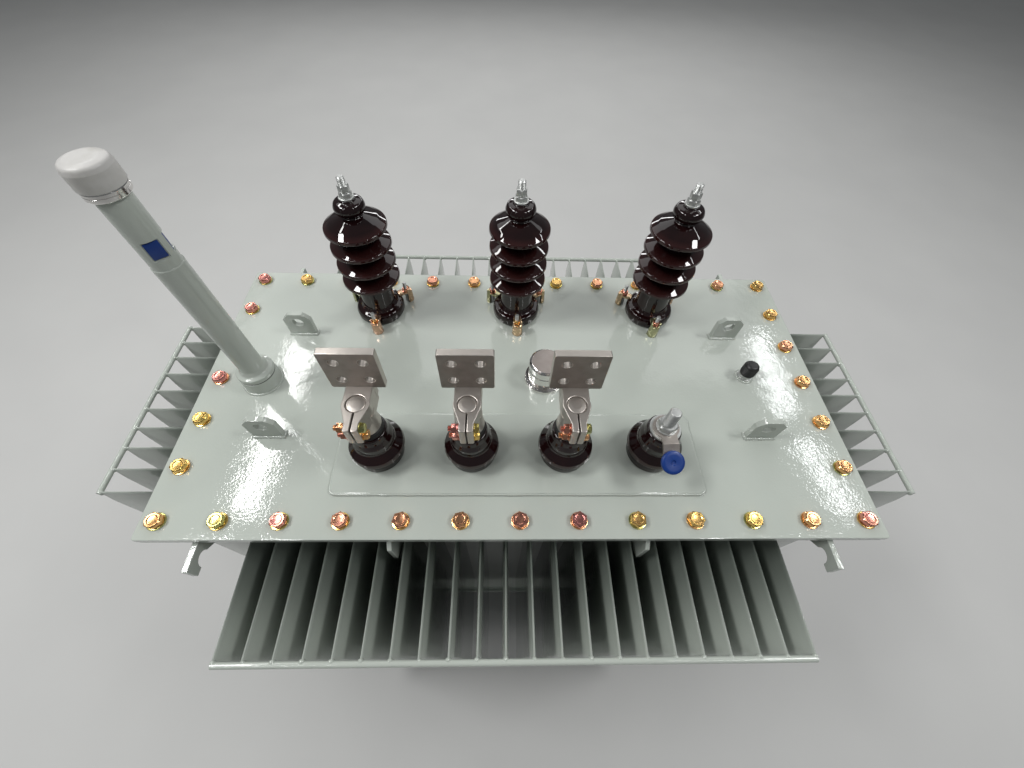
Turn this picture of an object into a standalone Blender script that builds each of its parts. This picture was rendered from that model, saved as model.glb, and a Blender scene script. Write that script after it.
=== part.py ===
"""A sealed oil-filled power transformer with corrugated tank walls, in metres, +Z up.

The origin is on the floor under the middle of the tank. The low-voltage side faces -Y.
"""

import math

import bmesh
import bpy
from mathutils import Matrix

# Gap left between pieces that touch, and how far a cutter runs past what it cuts
SEAT = 0.0003
OVERRUN = 0.004

# Tank
TANK_LENGTH = 1.146
TANK_DEPTH = 0.518
WALL_HEIGHT = 0.920
SHEET = 0.0015
BOTTOM_THICKNESS = 0.008
BOTTOM_LIP = 0.012

# Core and windings, standing on the tank's bottom
CORE_LIMBS = 3
CORE_DEPTH = 0.200
LIMB_WIDTH = 0.160
CORE_END_CLEARANCE = 0.030
CORE_SIDE_CLEARANCE = 0.042
CORE_TOP_CLEARANCE = 0.040
WINDING_SPACING = 0.010
WINDING_CORNER = 0.120

# Cooling fins, folded from the wall sheet and pinched shut at both ends
FIN_PITCH = 0.046
FIN_DEPTH = 0.222
FIN_HEIGHT = 0.685
FIN_THICKNESS = 0.010
FIN_SHOULDER = 0.038
FIN_TOP_DROP = 0.058
LONG_WALL_MARGIN = 0.085
END_WALL_MARGIN = 0.048
TIE_ROD_RADIUS = 0.0053
TIE_ROD_BITE = 0.0015
TIE_ROD_OVERHANG = 0.002

# Gusset plates under the long flanges
GUSSET_PLACE = 0.222
GUSSET_THICKNESS = 0.008
GUSSET_REACH = 0.066
GUSSET_HEIGHT = 0.120
GUSSET_NOSE = 0.075
GUSSET_CHAMFER = 0.016

# Flange bars round the tank's mouth, and the cover bolted to them
FLANGE_WIDTH = 0.062
FLANGE_THICKNESS = 0.012
FLANGE_SETBACK = 0.002
COVER_LIP = 0.057
COVER_THICKNESS = 0.010
COVER_CORNER = 0.005

# Base channels
CHANNEL_HEIGHT = 0.100
CHANNEL_WIDTH = 0.048
CHANNEL_WEB = 0.0055
CHANNEL_FLANGE = 0.0085
CHANNEL_LENGTH = 0.640
CHANNEL_GAUGE = 0.660

# Lifting lugs welded on the cover
LUG_INSET = 0.108
LUG_PLACE_Y = 0.125
LUG_WIDTH = 0.056
LUG_HEIGHT = 0.060
LUG_THICKNESS = 0.010
LUG_CHAMFER = 0.0135
LUG_HOLE_WIDTH = 0.024
LUG_HOLE_HEIGHT = 0.022
LUG_HOLE_RISE = 0.037

# Lifting hooks welded to the tank, notched on their undersides
HOOK_INSET = 0.033
HOOK_THICKNESS = 0.010
HOOK_REACH = 0.101
HOOK_TIP_DEPTH = 0.032
HOOK_ROOT_DEPTH = 0.084
HOOK_NOTCH_RADIUS = 0.0135
HOOK_NOTCH_PLACE = 0.073
HOOK_THROAT = 0.016

# High-voltage bushings
HV_BUSHINGS = 3
HV_PITCH = 0.308
HV_ROW_Y = 0.198
HV_FLANGE_RADIUS = 0.052
HV_FLANGE_HEIGHT = 0.022
HV_FLANGE_ROUND = 0.008
HV_WAIST_RADIUS = 0.035
HV_CORE_RADIUS = 0.030
HV_SHED_RADIUS = 0.059
HV_SHED_TIP = 0.0045
HV_SHED_SLOPE = 0.016
HV_SHED_UNDER = 0.007
HV_FIRST_SHED = 0.1015
HV_SHED_PITCH = 0.0403
HV_SHEDS = 4
HV_CAP_SLOPE = 0.024
HV_NECK_RADIUS = 0.017
HV_KNOB_RADIUS = 0.0285
HV_KNOB_HEIGHT = 0.028
HV_TOP = 0.278
HV_STUD_RADIUS = 0.007
HV_STUD_TOP = 0.318
HV_NUT_HEIGHT = 0.012
HV_LOW_NUT_RADIUS = 0.0125
HV_TOP_NUT_RADIUS = 0.0105
HV_TOP_NUT_RISE = 0.0137

# Low-voltage bushings, one for each phase and one for the neutral
LV_PHASES = 3
LV_PITCH = 0.167
LV_FIRST_X = -0.252
NEUTRAL_PITCH = 0.1605
LV_ROW_Y = -0.160
LV_PLATE_LENGTH = 0.660
LV_PLATE_FRONT = -0.240
LV_PLATE_BACK = -0.082
LV_PLATE_THICKNESS = 0.005
LV_PLATE_CORNER = 0.012
LV_FOOT_RADIUS = 0.043
LV_FOOT_HEIGHT = 0.016
LV_SHED_RADIUS = 0.0485
LV_SHED_LEVEL = 0.030
LV_SHED_TIP = 0.006
LV_SHED_SLOPE = 0.018
LV_BODY_RADIUS = 0.036
LV_NECK_RADIUS = 0.030
LV_TOP = 0.090
LV_SEAL_RADIUS = 0.026
LV_SEAL_HEIGHT = 0.014
LV_STUD_RADIUS = 0.015
LV_STUD_TOP = 0.168

# Palm clamps on the three low-voltage studs
BORE_CLEARANCE = 0.0004
BARREL_RADIUS = 0.0235
JAW_WIDTH = 0.022
JAW_REACH = 0.047
JAW_HEIGHT = 0.040
SLIT_WIDTH = 0.0022
NECK_WIDTH = 0.0415
HEEL_WIDTH = 0.0425
HEEL_HEIGHT = 0.030
SKIRT_SETBACK = 0.0010
PALM_WIDTH = 0.0825
PALM_HEIGHT = 0.083
PALM_THICKNESS = 0.012
PALM_FACE = 0.030
PALM_DROP = 0.002
PALM_HOLE_RADIUS = 0.0075
PALM_HOLE_SPACING = 0.0417

# Neutral terminal, its lug and the lug's plastic cap
NEUTRAL_SPINDLE_RADIUS = 0.010
NEUTRAL_SPINDLE_TOP = 0.1465
NEUTRAL_SPINDLE_EDGE = 0.0015
NEUTRAL_SEAL_HEIGHT = 0.004
NEUTRAL_NUT_RADIUS = 0.0173
NEUTRAL_NUT_HEIGHT = 0.012
NEUTRAL_LUG_WIDTH = 0.027
NEUTRAL_LUG_THICKNESS = 0.004
NEUTRAL_LUG_BEND = 0.031
NEUTRAL_LUG_REACH = 0.0554
NEUTRAL_LUG_TURN = math.radians(-87)
NEUTRAL_LUG_SLOPE = math.radians(34)
NEUTRAL_EYE_RADIUS = 0.022
NEUTRAL_CAP_RADIUS = 0.0195
NEUTRAL_CAP_THICKNESS = 0.006
NEUTRAL_CAP_EDGE = 0.0012
NEUTRAL_CAP_DIMPLE_RADIUS = 0.004
NEUTRAL_CAP_DIMPLE_DEPTH = 0.002

# Oil level gauge: a standpipe with windows near its top, a ring and a plastic cap
GAUGE_INSET = 0.058
GAUGE_Y = -0.002
GAUGE_BOSS_RADIUS = 0.0355
GAUGE_BOSS_HEIGHT = 0.031
GAUGE_COLLAR_RADIUS = 0.0342
GAUGE_COLLAR_TOP = 0.039
GAUGE_FLARE = 0.011
GAUGE_PIPE_RADIUS = 0.0213
GAUGE_PIPE_TOP = 0.4077
GAUGE_STEP = 0.0012
GAUGE_STEP_LEVEL = 0.300
GAUGE_RING_RADIUS = 0.0268
GAUGE_RING_HEIGHT = 0.0115
GAUGE_CAP_RADIUS = 0.0282
GAUGE_CAP_HEIGHT = 0.032
GAUGE_CAP_ROUND = 0.005
GAUGE_WINDOW_WIDTH = 0.022
GAUGE_WINDOW_HEIGHT = 0.030
GAUGE_WINDOW_LEVEL = 0.332
GAUGE_WINDOW_DEPTH = 0.004
GAUGE_WINDOW_TURN = math.radians(40)

# Pressure relief valve and thermometer pocket
RELIEF_X = 0.056
RELIEF_Y = 0.008
RELIEF_RADIUS = 0.0335
RELIEF_TOP = 0.059
RELIEF_FLANGE_RADIUS = 0.0405
RELIEF_FLANGE_HEIGHT = 0.008
RELIEF_EDGE = 0.004
POCKET_INSET = 0.091
POCKET_Y = 0.016
POCKET_RADIUS = 0.015
POCKET_HEIGHT = 0.014
POCKET_CAP_RADIUS = 0.0175
POCKET_CAP_HEIGHT = 0.028
POCKET_CAP_ROUND = 0.006

# Facets round each kind of turned piece
TURNED_STEPS = 16
FINE_STEPS = 12
NUT_SIDES = 6
NUT_TURN = math.radians(20)
ROD_SIDES = 6
NOSE_STEPS = 3
CORNER_STEPS = 3
CHEEK_STEPS = 5
NOTCH_STEPS = 8

# Sizes and levels that several pieces share
COVER_LENGTH = TANK_LENGTH + 2 * COVER_LIP
GAUGE_X = GAUGE_INSET - TANK_LENGTH / 2
POCKET_X = TANK_LENGTH / 2 - POCKET_INSET
COVER_DEPTH = TANK_DEPTH + 2 * COVER_LIP
BOTTOM_Z = CHANNEL_HEIGHT + SEAT
WALL_Z = BOTTOM_Z + BOTTOM_THICKNESS + SEAT
FLANGE_Z = WALL_Z + WALL_HEIGHT + SEAT
COVER_Z = FLANGE_Z + FLANGE_THICKNESS + SEAT
COVER_TOP = COVER_Z + COVER_THICKNESS
DECK = COVER_TOP + SEAT
LV_DECK = DECK + LV_PLATE_THICKNESS + SEAT
LV_STUD_FOOT = LV_DECK + LV_TOP + SEAT

FINISHES = {
    "tank_paint": ((0.47, 0.52, 0.46), 0.28, 0.0),
    "core_steel": ((0.16, 0.12, 0.09), 0.60, 0.2),
    "porcelain": ((0.035, 0.008, 0.007), 0.08, 0.0),
    "tinned_metal": ((0.55, 0.52, 0.49), 0.42, 0.9),
    "bright_metal": ((0.78, 0.77, 0.75), 0.18, 1.0),
    "white_plastic": ((0.80, 0.81, 0.80), 0.45, 0.0),
    "black_plastic": ((0.02, 0.02, 0.02), 0.40, 0.0),
    "blue_plastic": ((0.02, 0.09, 0.42), 0.35, 0.0),
}


def clear_scene():
    for item in list(bpy.data.objects):
        bpy.data.objects.remove(item, do_unlink=True)


def new_collection(name):
    made = bpy.data.collections.new(name)
    bpy.context.scene.collection.children.link(made)
    return made


def finish(name, slot):
    colour, roughness, metallic = FINISHES[slot]
    made = bpy.data.materials.new(name + "_" + slot)
    made.use_nodes = True
    shader = made.node_tree.nodes["Principled BSDF"]
    shader.inputs["Base Color"].default_value = (*colour, 1.0)
    shader.inputs["Roughness"].default_value = roughness
    shader.inputs["Metallic"].default_value = metallic
    made.diffuse_color = (*colour, 1.0)
    return made


def add_piece(name, mesh, slot, place=(0, 0, 0), turn=0.0):
    """One named sub-part of the transformer, with its own material."""
    piece = bpy.data.objects.new(name, mesh)
    PARTS.objects.link(piece)
    piece.location = place
    piece.rotation_euler = (0, 0, turn)
    if not mesh.materials:
        mesh.materials.append(finish(name, slot))
    return piece


def add_helper(name, mesh, like):
    """A cutter or a joined shape: it stays out of the render and follows its piece."""
    helper = bpy.data.objects.new(name, mesh)
    HELPERS.objects.link(helper)
    helper.hide_render = True
    helper.display_type = "WIRE"
    helper.location = like.location
    helper.rotation_euler = like.rotation_euler
    return helper


def combine(piece, mesh, operation):
    step = piece.modifiers.new(mesh.name, "BOOLEAN")
    step.operation = operation
    step.solver = "EXACT"
    step.object = add_helper(piece.name + "_" + mesh.name, mesh, piece)


def to_mesh(shape, name):
    mesh = bpy.data.meshes.new(name)
    bmesh.ops.recalc_face_normals(shape, faces=shape.faces)
    shape.to_mesh(mesh)
    shape.free()
    return mesh


def add_box(shape, low, high):
    size = [b - a for a, b in zip(low, high)]
    middle = [(a + b) / 2 for a, b in zip(low, high)]
    place = Matrix.Translation(middle) @ Matrix.Diagonal((*size, 1))
    bmesh.ops.create_cube(shape, size=1, matrix=place)


def add_cylinder(shape, radius, low, high, steps, centre=(0, 0), turn=0.0):
    place = Matrix.Translation((*centre, (low + high) / 2)) @ Matrix.Rotation(turn, 4, "Z")
    bmesh.ops.create_cone(
        shape, cap_ends=True, segments=steps, radius1=radius, radius2=radius,
        depth=high - low, matrix=place,
    )


def add_loft(shape, rings):
    """Joins rings that have the same number of points, and closes both ends."""
    rows = [[shape.verts.new(point) for point in ring] for ring in rings]
    shape.faces.new(list(reversed(rows[0])))
    shape.faces.new(rows[-1])
    count = len(rows[0])
    for lower, upper in zip(rows, rows[1:]):
        for i in range(count):
            j = (i + 1) % count
            shape.faces.new((lower[i], lower[j], upper[j], upper[i]))


def box_mesh(name, low, high):
    shape = bmesh.new()
    add_box(shape, low, high)
    return to_mesh(shape, name)


def arc(centre, radius, start, end, steps):
    """Points on an arc, from one angle to the other, both in degrees."""
    found = []
    for i in range(steps + 1):
        angle = math.radians(start + (end - start) * i / steps)
        found.append((centre[0] + radius * math.cos(angle), centre[1] + radius * math.sin(angle)))
    return found


def rounded_rectangle(half_x, half_y, radius, steps):
    points = []
    corners = ((1, 1, 0), (-1, 1, 90), (-1, -1, 180), (1, -1, 270))
    for side_x, side_y, start in corners:
        centre = (side_x * (half_x - radius), side_y * (half_y - radius))
        points += arc(centre, radius, start, start + 90, steps)
    return points


def flat_mesh(name, outlines, thickness):
    """A flat outline, with any holes, filled and given its thickness both ways from z = 0."""
    curve = bpy.data.curves.new(name, "CURVE")
    curve.dimensions = "2D"
    curve.fill_mode = "BOTH"
    curve.extrude = thickness / 2
    for outline in outlines:
        spline = curve.splines.new("POLY")
        spline.points.add(len(outline) - 1)
        for point, (x, y) in zip(spline.points, outline):
            point.co = (x, y, 0, 1)
        spline.use_cyclic_u = True
    guide = bpy.data.objects.new(name, curve)
    bpy.context.scene.collection.objects.link(guide)
    bpy.context.view_layer.update()
    evaluated = guide.evaluated_get(bpy.context.evaluated_depsgraph_get())
    mesh = bpy.data.meshes.new_from_object(evaluated)
    bpy.data.objects.remove(guide, do_unlink=True)
    shape = bmesh.new()
    shape.from_mesh(mesh)
    bmesh.ops.remove_doubles(shape, verts=shape.verts, dist=SEAT / 10)
    bmesh.ops.recalc_face_normals(shape, faces=shape.faces)
    shape.to_mesh(mesh)
    shape.free()
    mesh.name = name
    return mesh


def upright(mesh, turn=0.0):
    """Stands a flat mesh up, so that its second axis points up, and turns it about Z."""
    mesh.transform(Matrix.Rotation(turn, 4, "Z") @ Matrix.Rotation(math.radians(90), 4, "X"))
    return mesh


def add_turned(name, profile, slot, place, steps=TURNED_STEPS, turn=0.0):
    """Turns a profile of (radius, height) about Z. It runs down the outer side, top to bottom."""
    mesh = bpy.data.meshes.new(name)
    points = [(radius, 0, height) for radius, height in profile]
    mesh.from_pydata(points, [(i, i + 1) for i in range(len(points) - 1)], [])
    piece = add_piece(name, mesh, slot, place, turn)
    screw = piece.modifiers.new("turn", "SCREW")
    screw.steps = steps
    screw.render_steps = steps
    screw.use_merge_vertices = True
    screw.merge_threshold = SEAT / 10
    screw.use_smooth_shade = True
    return piece


def fin_ring(thickness, depth, root, level):
    """The plan of one fin at one level: flat cheeks and a rounded fold at the outer end."""
    cheek = thickness / 2
    nose = arc((0, cheek - depth), cheek, 180, 360, NOSE_STEPS)
    plan = [(-cheek, root)] + nose + [(cheek, root)]
    return [(x, y, level) for x, y in plan]


def fin_places(length, margin):
    """Where the fins stand along a wall: as many as fit between its margins."""
    count = int((length - 2 * margin) / FIN_PITCH) + 1
    return [(i - (count - 1) / 2) * FIN_PITCH for i in range(count)]


def fins_mesh(places, base):
    """The outside of every fin on a wall. Where it is pinched shut, its two cheeks touch."""
    shape = bmesh.new()
    top = base + FIN_HEIGHT
    levels = (
        (base, 2 * SHEET), (base + FIN_SHOULDER, FIN_THICKNESS),
        (top - FIN_SHOULDER, FIN_THICKNESS), (top, 2 * SHEET),
    )
    for along in places:
        rings = []
        for level, thickness in levels:
            ring = fin_ring(thickness, FIN_DEPTH, SHEET / 2, level)
            rings.append([(x + along, y, z) for x, y, z in ring])
        add_loft(shape, rings)
    return to_mesh(shape, "fins")


def oilways_mesh(places, base):
    """The space inside every fin between its pinched ends, open to the tank."""
    shape = bmesh.new()
    low = base + FIN_SHOULDER
    high = base + FIN_HEIGHT - FIN_SHOULDER
    half = FIN_THICKNESS / 2 - SHEET
    depth = FIN_DEPTH - FIN_THICKNESS / 2
    for along in places:
        add_box(shape, (along - half, -depth, low), (along + half, SHEET + OVERRUN, high))
    return to_mesh(shape, "oilways")


def tie_rods_mesh(places, base):
    """Round bars welded along the fins' outer corners, top and bottom."""
    shape = bmesh.new()
    half = places[-1] + TIE_ROD_OVERHANG
    out = -(FIN_DEPTH + TIE_ROD_RADIUS - TIE_ROD_BITE)
    for level in (base + TIE_ROD_RADIUS, base + FIN_HEIGHT - TIE_ROD_RADIUS):
        place = Matrix.Translation((0, out, level)) @ Matrix.Rotation(math.radians(90), 4, "Y")
        bmesh.ops.create_cone(
            shape, cap_ends=True, segments=ROD_SIDES, radius1=TIE_ROD_RADIUS,
            radius2=TIE_ROD_RADIUS, depth=2 * half, matrix=place,
        )
    return to_mesh(shape, "tie_rods")


def gussets_mesh():
    """Plates that brace the long flanges between two fins."""
    low = WALL_HEIGHT - GUSSET_HEIGHT
    nose = WALL_HEIGHT - GUSSET_NOSE
    outline = (
        (SHEET / 2, WALL_HEIGHT), (SHEET / 2, low), (-GUSSET_REACH, nose),
        (-GUSSET_REACH, WALL_HEIGHT - GUSSET_CHAMFER),
        (GUSSET_CHAMFER - GUSSET_REACH, WALL_HEIGHT),
    )
    shape = bmesh.new()
    for side in (-1, 1):
        middle = side * GUSSET_PLACE
        faces = (middle - GUSSET_THICKNESS / 2, middle + GUSSET_THICKNESS / 2)
        add_loft(shape, [[(x, y, z) for y, z in outline] for x in faces])
    return to_mesh(shape, "gussets")


def add_wall(name, length, margin, place, turn, braced):
    """A corrugated wall: one sheet folded into fins, tied by rods at their outer corners."""
    plate = box_mesh(name, (-length / 2, 0, 0), (length / 2, SHEET, WALL_HEIGHT))
    wall = add_piece(name, plate, "tank_paint", place, turn)
    base = WALL_HEIGHT - FIN_TOP_DROP - FIN_HEIGHT
    places = fin_places(length, margin)
    combine(wall, fins_mesh(places, base), "UNION")
    combine(wall, tie_rods_mesh(places, base), "UNION")
    if braced:
        combine(wall, gussets_mesh(), "UNION")
    combine(wall, oilways_mesh(places, base), "DIFFERENCE")


def build_walls():
    quarter = math.radians(90)
    half_x, half_y = TANK_LENGTH / 2, TANK_DEPTH / 2
    margin = LONG_WALL_MARGIN
    add_wall("tank_wall_front", TANK_LENGTH, margin, (0, -half_y, WALL_Z), 0, True)
    add_wall("tank_wall_back", TANK_LENGTH, margin, (0, half_y, WALL_Z), 2 * quarter, True)
    length = TANK_DEPTH - 2 * (SHEET + SEAT)
    margin = END_WALL_MARGIN
    add_wall("tank_wall_left", length, margin, (-half_x, 0, WALL_Z), -quarter, False)
    add_wall("tank_wall_right", length, margin, (half_x, 0, WALL_Z), quarter, False)


def build_core():
    """A three-limbed core with a winding round each limb, as one block."""
    inside = TANK_LENGTH - 2 * (SHEET + CORE_END_CLEARANCE)
    pitch = (inside + WINDING_SPACING) / CORE_LIMBS
    reach = ((CORE_LIMBS - 1) * pitch + LIMB_WIDTH) / 2
    height = WALL_HEIGHT - CORE_TOP_CLEARANCE
    core = [[(-reach, 0), (reach, 0), (reach, height), (-reach, height)]]
    for i in range(CORE_LIMBS - 1):
        left = LIMB_WIDTH - reach + i * pitch
        right = left + pitch - LIMB_WIDTH
        low, high = LIMB_WIDTH, height - LIMB_WIDTH
        core.append([(left, low), (right, low), (right, high), (left, high)])
    mesh = upright(flat_mesh("core_and_windings", core, CORE_DEPTH))
    block = add_piece("core_and_windings", mesh, "core_steel", (0, 0, WALL_Z))
    half_x = (pitch - WINDING_SPACING) / 2
    half_y = TANK_DEPTH / 2 - SHEET - CORE_SIDE_CLEARANCE
    plans = []
    for i in range(CORE_LIMBS):
        middle = (i - (CORE_LIMBS - 1) / 2) * pitch
        plan = rounded_rectangle(half_x, half_y, WINDING_CORNER, CORNER_STEPS)
        plans.append([(x + middle, y) for x, y in plan])
    windings = flat_mesh("windings", plans, height - 2 * (LIMB_WIDTH + WINDING_SPACING))
    windings.transform(Matrix.Translation((0, 0, height / 2)))
    combine(block, windings, "UNION")


def build_base():
    """Two channels on the floor, open outwards, and the plate that closes the tank below."""
    bore_low, bore_high = CHANNEL_FLANGE, CHANNEL_HEIGHT - CHANNEL_FLANGE
    outline = (
        (0, 0), (CHANNEL_WIDTH, 0), (CHANNEL_WIDTH, bore_low), (CHANNEL_WEB, bore_low),
        (CHANNEL_WEB, bore_high), (CHANNEL_WIDTH, bore_high), (CHANNEL_WIDTH, CHANNEL_HEIGHT),
        (0, CHANNEL_HEIGHT),
    )
    middle = (CHANNEL_GAUGE - CHANNEL_WIDTH) / 2
    for name, side, turn in (("right", 1, 0.0), ("left", -1, math.radians(180))):
        mesh = upright(flat_mesh("base_channel_" + name, [outline], CHANNEL_LENGTH))
        add_piece("base_channel_" + name, mesh, "tank_paint", (side * middle, 0, 0), turn)
    half_x = TANK_LENGTH / 2 + BOTTOM_LIP
    half_y = TANK_DEPTH / 2 + BOTTOM_LIP
    mesh = box_mesh("tank_bottom", (-half_x, -half_y, 0), (half_x, half_y, BOTTOM_THICKNESS))
    add_piece("tank_bottom", mesh, "tank_paint", (0, 0, BOTTOM_Z))


def build_flange():
    """Four flat bars round the mouth of the tank."""
    half_x = COVER_LENGTH / 2 - FLANGE_SETBACK
    half_y = COVER_DEPTH / 2 - FLANGE_SETBACK
    end_y = half_y - FLANGE_WIDTH - SEAT
    bars = {
        "tank_flange_front": ((-half_x, -half_y), (half_x, FLANGE_WIDTH - half_y)),
        "tank_flange_back": ((-half_x, half_y - FLANGE_WIDTH), (half_x, half_y)),
        "tank_flange_left": ((-half_x, -end_y), (FLANGE_WIDTH - half_x, end_y)),
        "tank_flange_right": ((half_x - FLANGE_WIDTH, -end_y), (half_x, end_y)),
    }
    for name, (low, high) in bars.items():
        mesh = box_mesh(name, (*low, 0), (*high, FLANGE_THICKNESS))
        add_piece(name, mesh, "tank_paint", (0, 0, FLANGE_Z))


def build_cover():
    outline = rounded_rectangle(COVER_LENGTH / 2, COVER_DEPTH / 2, COVER_CORNER, CORNER_STEPS)
    mesh = flat_mesh("cover_plate", [outline], COVER_THICKNESS)
    add_piece("cover_plate", mesh, "tank_paint", (0, 0, COVER_Z + COVER_THICKNESS / 2))
    depth = LV_PLATE_BACK - LV_PLATE_FRONT
    outline = rounded_rectangle(LV_PLATE_LENGTH / 2, depth / 2, LV_PLATE_CORNER, CORNER_STEPS)
    mesh = flat_mesh("lv_mounting_plate", [outline], LV_PLATE_THICKNESS)
    middle = (LV_PLATE_BACK + LV_PLATE_FRONT) / 2
    place = (0, middle, DECK + LV_PLATE_THICKNESS / 2)
    add_piece("lv_mounting_plate", mesh, "tank_paint", place)


def build_lugs():
    """Plates on the cover with an oblong eye each."""
    half = LUG_WIDTH / 2
    outline = (
        (-half, 0), (half, 0), (half, LUG_HEIGHT - LUG_CHAMFER),
        (half - LUG_CHAMFER, LUG_HEIGHT), (LUG_CHAMFER - half, LUG_HEIGHT),
        (-half, LUG_HEIGHT - LUG_CHAMFER),
    )
    end = LUG_HOLE_HEIGHT / 2
    reach = LUG_HOLE_WIDTH / 2 - end
    eye = arc((reach, LUG_HOLE_RISE), end, -90, 90, NOTCH_STEPS // 2)
    eye += arc((-reach, LUG_HOLE_RISE), end, 90, 270, NOTCH_STEPS // 2)
    place = TANK_LENGTH / 2 - LUG_INSET
    for row, y in (("front", -LUG_PLACE_Y), ("back", LUG_PLACE_Y)):
        for side, x in (("left", -place), ("right", place)):
            name = "cover_lug_" + row + "_" + side
            mesh = upright(flat_mesh(name, [outline, eye], LUG_THICKNESS))
            add_piece(name, mesh, "tank_paint", (x, y, DECK))


def build_hooks():
    """Tapered plates under the long flanges, notched below so that a sling stays in."""
    low = -HOOK_THROAT - HOOK_NOTCH_RADIUS
    notch = arc((HOOK_NOTCH_PLACE, low), HOOK_NOTCH_RADIUS, 180, 0, NOTCH_STEPS)
    outline = [(0, 0), (0, -HOOK_ROOT_DEPTH)] + notch
    outline += [(HOOK_NOTCH_PLACE + HOOK_NOTCH_RADIUS, -HOOK_TIP_DEPTH)]
    outline += [(HOOK_REACH, -HOOK_TIP_DEPTH), (HOOK_REACH, 0)]
    level = FLANGE_Z - SEAT
    start = TANK_DEPTH / 2 + SEAT
    place = TANK_LENGTH / 2 - HOOK_INSET
    for row, way in (("front", -1), ("back", 1)):
        for side, x in (("left", -place), ("right", place)):
            name = "tank_hook_" + row + "_" + side
            mesh = upright(flat_mesh(name, [outline], HOOK_THICKNESS), way * math.radians(90))
            add_piece(name, mesh, "tank_paint", (x, way * start, level))


def hv_profile():
    """The porcelain from its knob down over the sheds to the foot."""
    knob = HV_TOP - HV_KNOB_HEIGHT / 2
    profile = [(0, HV_TOP), (HV_NECK_RADIUS, HV_TOP)]
    profile += [(HV_KNOB_RADIUS, knob + HV_KNOB_HEIGHT / 4)]
    profile += [(HV_KNOB_RADIUS, knob - HV_KNOB_HEIGHT / 4)]
    profile += [(HV_NECK_RADIUS, HV_TOP - HV_KNOB_HEIGHT)]
    for i in reversed(range(HV_SHEDS)):
        level = HV_FIRST_SHED + i * HV_SHED_PITCH
        top_shed = i == HV_SHEDS - 1
        slope = HV_CAP_SLOPE if top_shed else HV_SHED_SLOPE
        root = HV_NECK_RADIUS if top_shed else HV_CORE_RADIUS
        profile += [(root, level + slope), (HV_SHED_RADIUS - HV_SHED_TIP, level + HV_SHED_TIP)]
        profile += [(HV_SHED_RADIUS, level), (HV_SHED_RADIUS - HV_SHED_TIP, level - HV_SHED_TIP)]
        profile += [(HV_CORE_RADIUS, level - HV_SHED_UNDER)]
    profile += [(HV_WAIST_RADIUS, HV_FIRST_SHED - 2 * HV_SHED_SLOPE)]
    profile += [(HV_WAIST_RADIUS, HV_FLANGE_HEIGHT + HV_FLANGE_ROUND)]
    profile += [(HV_WAIST_RADIUS + HV_FLANGE_ROUND / 2, HV_FLANGE_HEIGHT)]
    profile += [(HV_FLANGE_RADIUS - HV_FLANGE_ROUND, HV_FLANGE_HEIGHT)]
    profile += [(HV_FLANGE_RADIUS, HV_FLANGE_HEIGHT - HV_FLANGE_ROUND), (HV_FLANGE_RADIUS, 0), (0, 0)]
    return profile


def build_hv_bushings():
    for i in range(HV_BUSHINGS):
        x = (i - (HV_BUSHINGS - 1) / 2) * HV_PITCH
        label = str(i + 1)
        add_turned("hv_porcelain_" + label, hv_profile(), "porcelain", (x, HV_ROW_Y, DECK))
        shape = bmesh.new()
        add_cylinder(shape, HV_STUD_RADIUS, 0, HV_STUD_TOP - HV_TOP, FINE_STEPS)
        stud = add_piece("hv_terminal_" + label, to_mesh(shape, "stud"), "tinned_metal",
                         (x, HV_ROW_Y, DECK + HV_TOP + SEAT))
        shape = bmesh.new()
        add_cylinder(shape, HV_LOW_NUT_RADIUS, 0, HV_NUT_HEIGHT, NUT_SIDES)
        top = HV_TOP_NUT_RISE + HV_NUT_HEIGHT
        add_cylinder(shape, HV_TOP_NUT_RADIUS, HV_TOP_NUT_RISE, top, NUT_SIDES, turn=NUT_TURN)
        combine(stud, to_mesh(shape, "nuts"), "UNION")


def lv_profile():
    """The porcelain from its neck down over one broad shed to the foot."""
    level = LV_SHED_LEVEL
    edge = LV_SHED_RADIUS - LV_SHED_TIP
    return [
        (0, LV_TOP), (LV_NECK_RADIUS - LV_SHED_TIP / 2, LV_TOP),
        (LV_NECK_RADIUS, LV_TOP - LV_SHED_TIP / 2),
        (LV_BODY_RADIUS, level + 2 * LV_SHED_SLOPE), (LV_BODY_RADIUS, level + LV_SHED_SLOPE),
        (edge, level + LV_SHED_TIP), (LV_SHED_RADIUS, level),
        (edge, level - LV_SHED_TIP), (LV_FOOT_RADIUS, LV_FOOT_HEIGHT), (LV_FOOT_RADIUS, 0), (0, 0),
    ]


def lv_places():
    phases = [LV_FIRST_X + i * LV_PITCH for i in range(LV_PHASES)]
    return phases + [phases[-1] + NEUTRAL_PITCH]


def build_lv_bushings():
    names = ("lv_porcelain_1", "lv_porcelain_2", "lv_porcelain_3", "neutral_porcelain")
    for name, x in zip(names, lv_places()):
        add_turned(name, lv_profile(), "porcelain", (x, LV_ROW_Y, LV_DECK))
    top = LV_STUD_TOP - LV_TOP - SEAT
    bevel = LV_STUD_RADIUS / 8
    profile = [
        (0, top), (LV_STUD_RADIUS - bevel, top), (LV_STUD_RADIUS, top - bevel),
        (LV_STUD_RADIUS, LV_SEAL_HEIGHT), (LV_SEAL_RADIUS, LV_SEAL_HEIGHT), (LV_SEAL_RADIUS, 0), (0, 0),
    ]
    for i, x in enumerate(lv_places()[:LV_PHASES]):
        place = (x, LV_ROW_Y, LV_STUD_FOOT)
        add_turned("lv_stud_" + str(i + 1), profile, "tinned_metal", place, FINE_STEPS)
        build_palm_clamp("lv_palm_clamp_" + str(i + 1), x)


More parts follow.
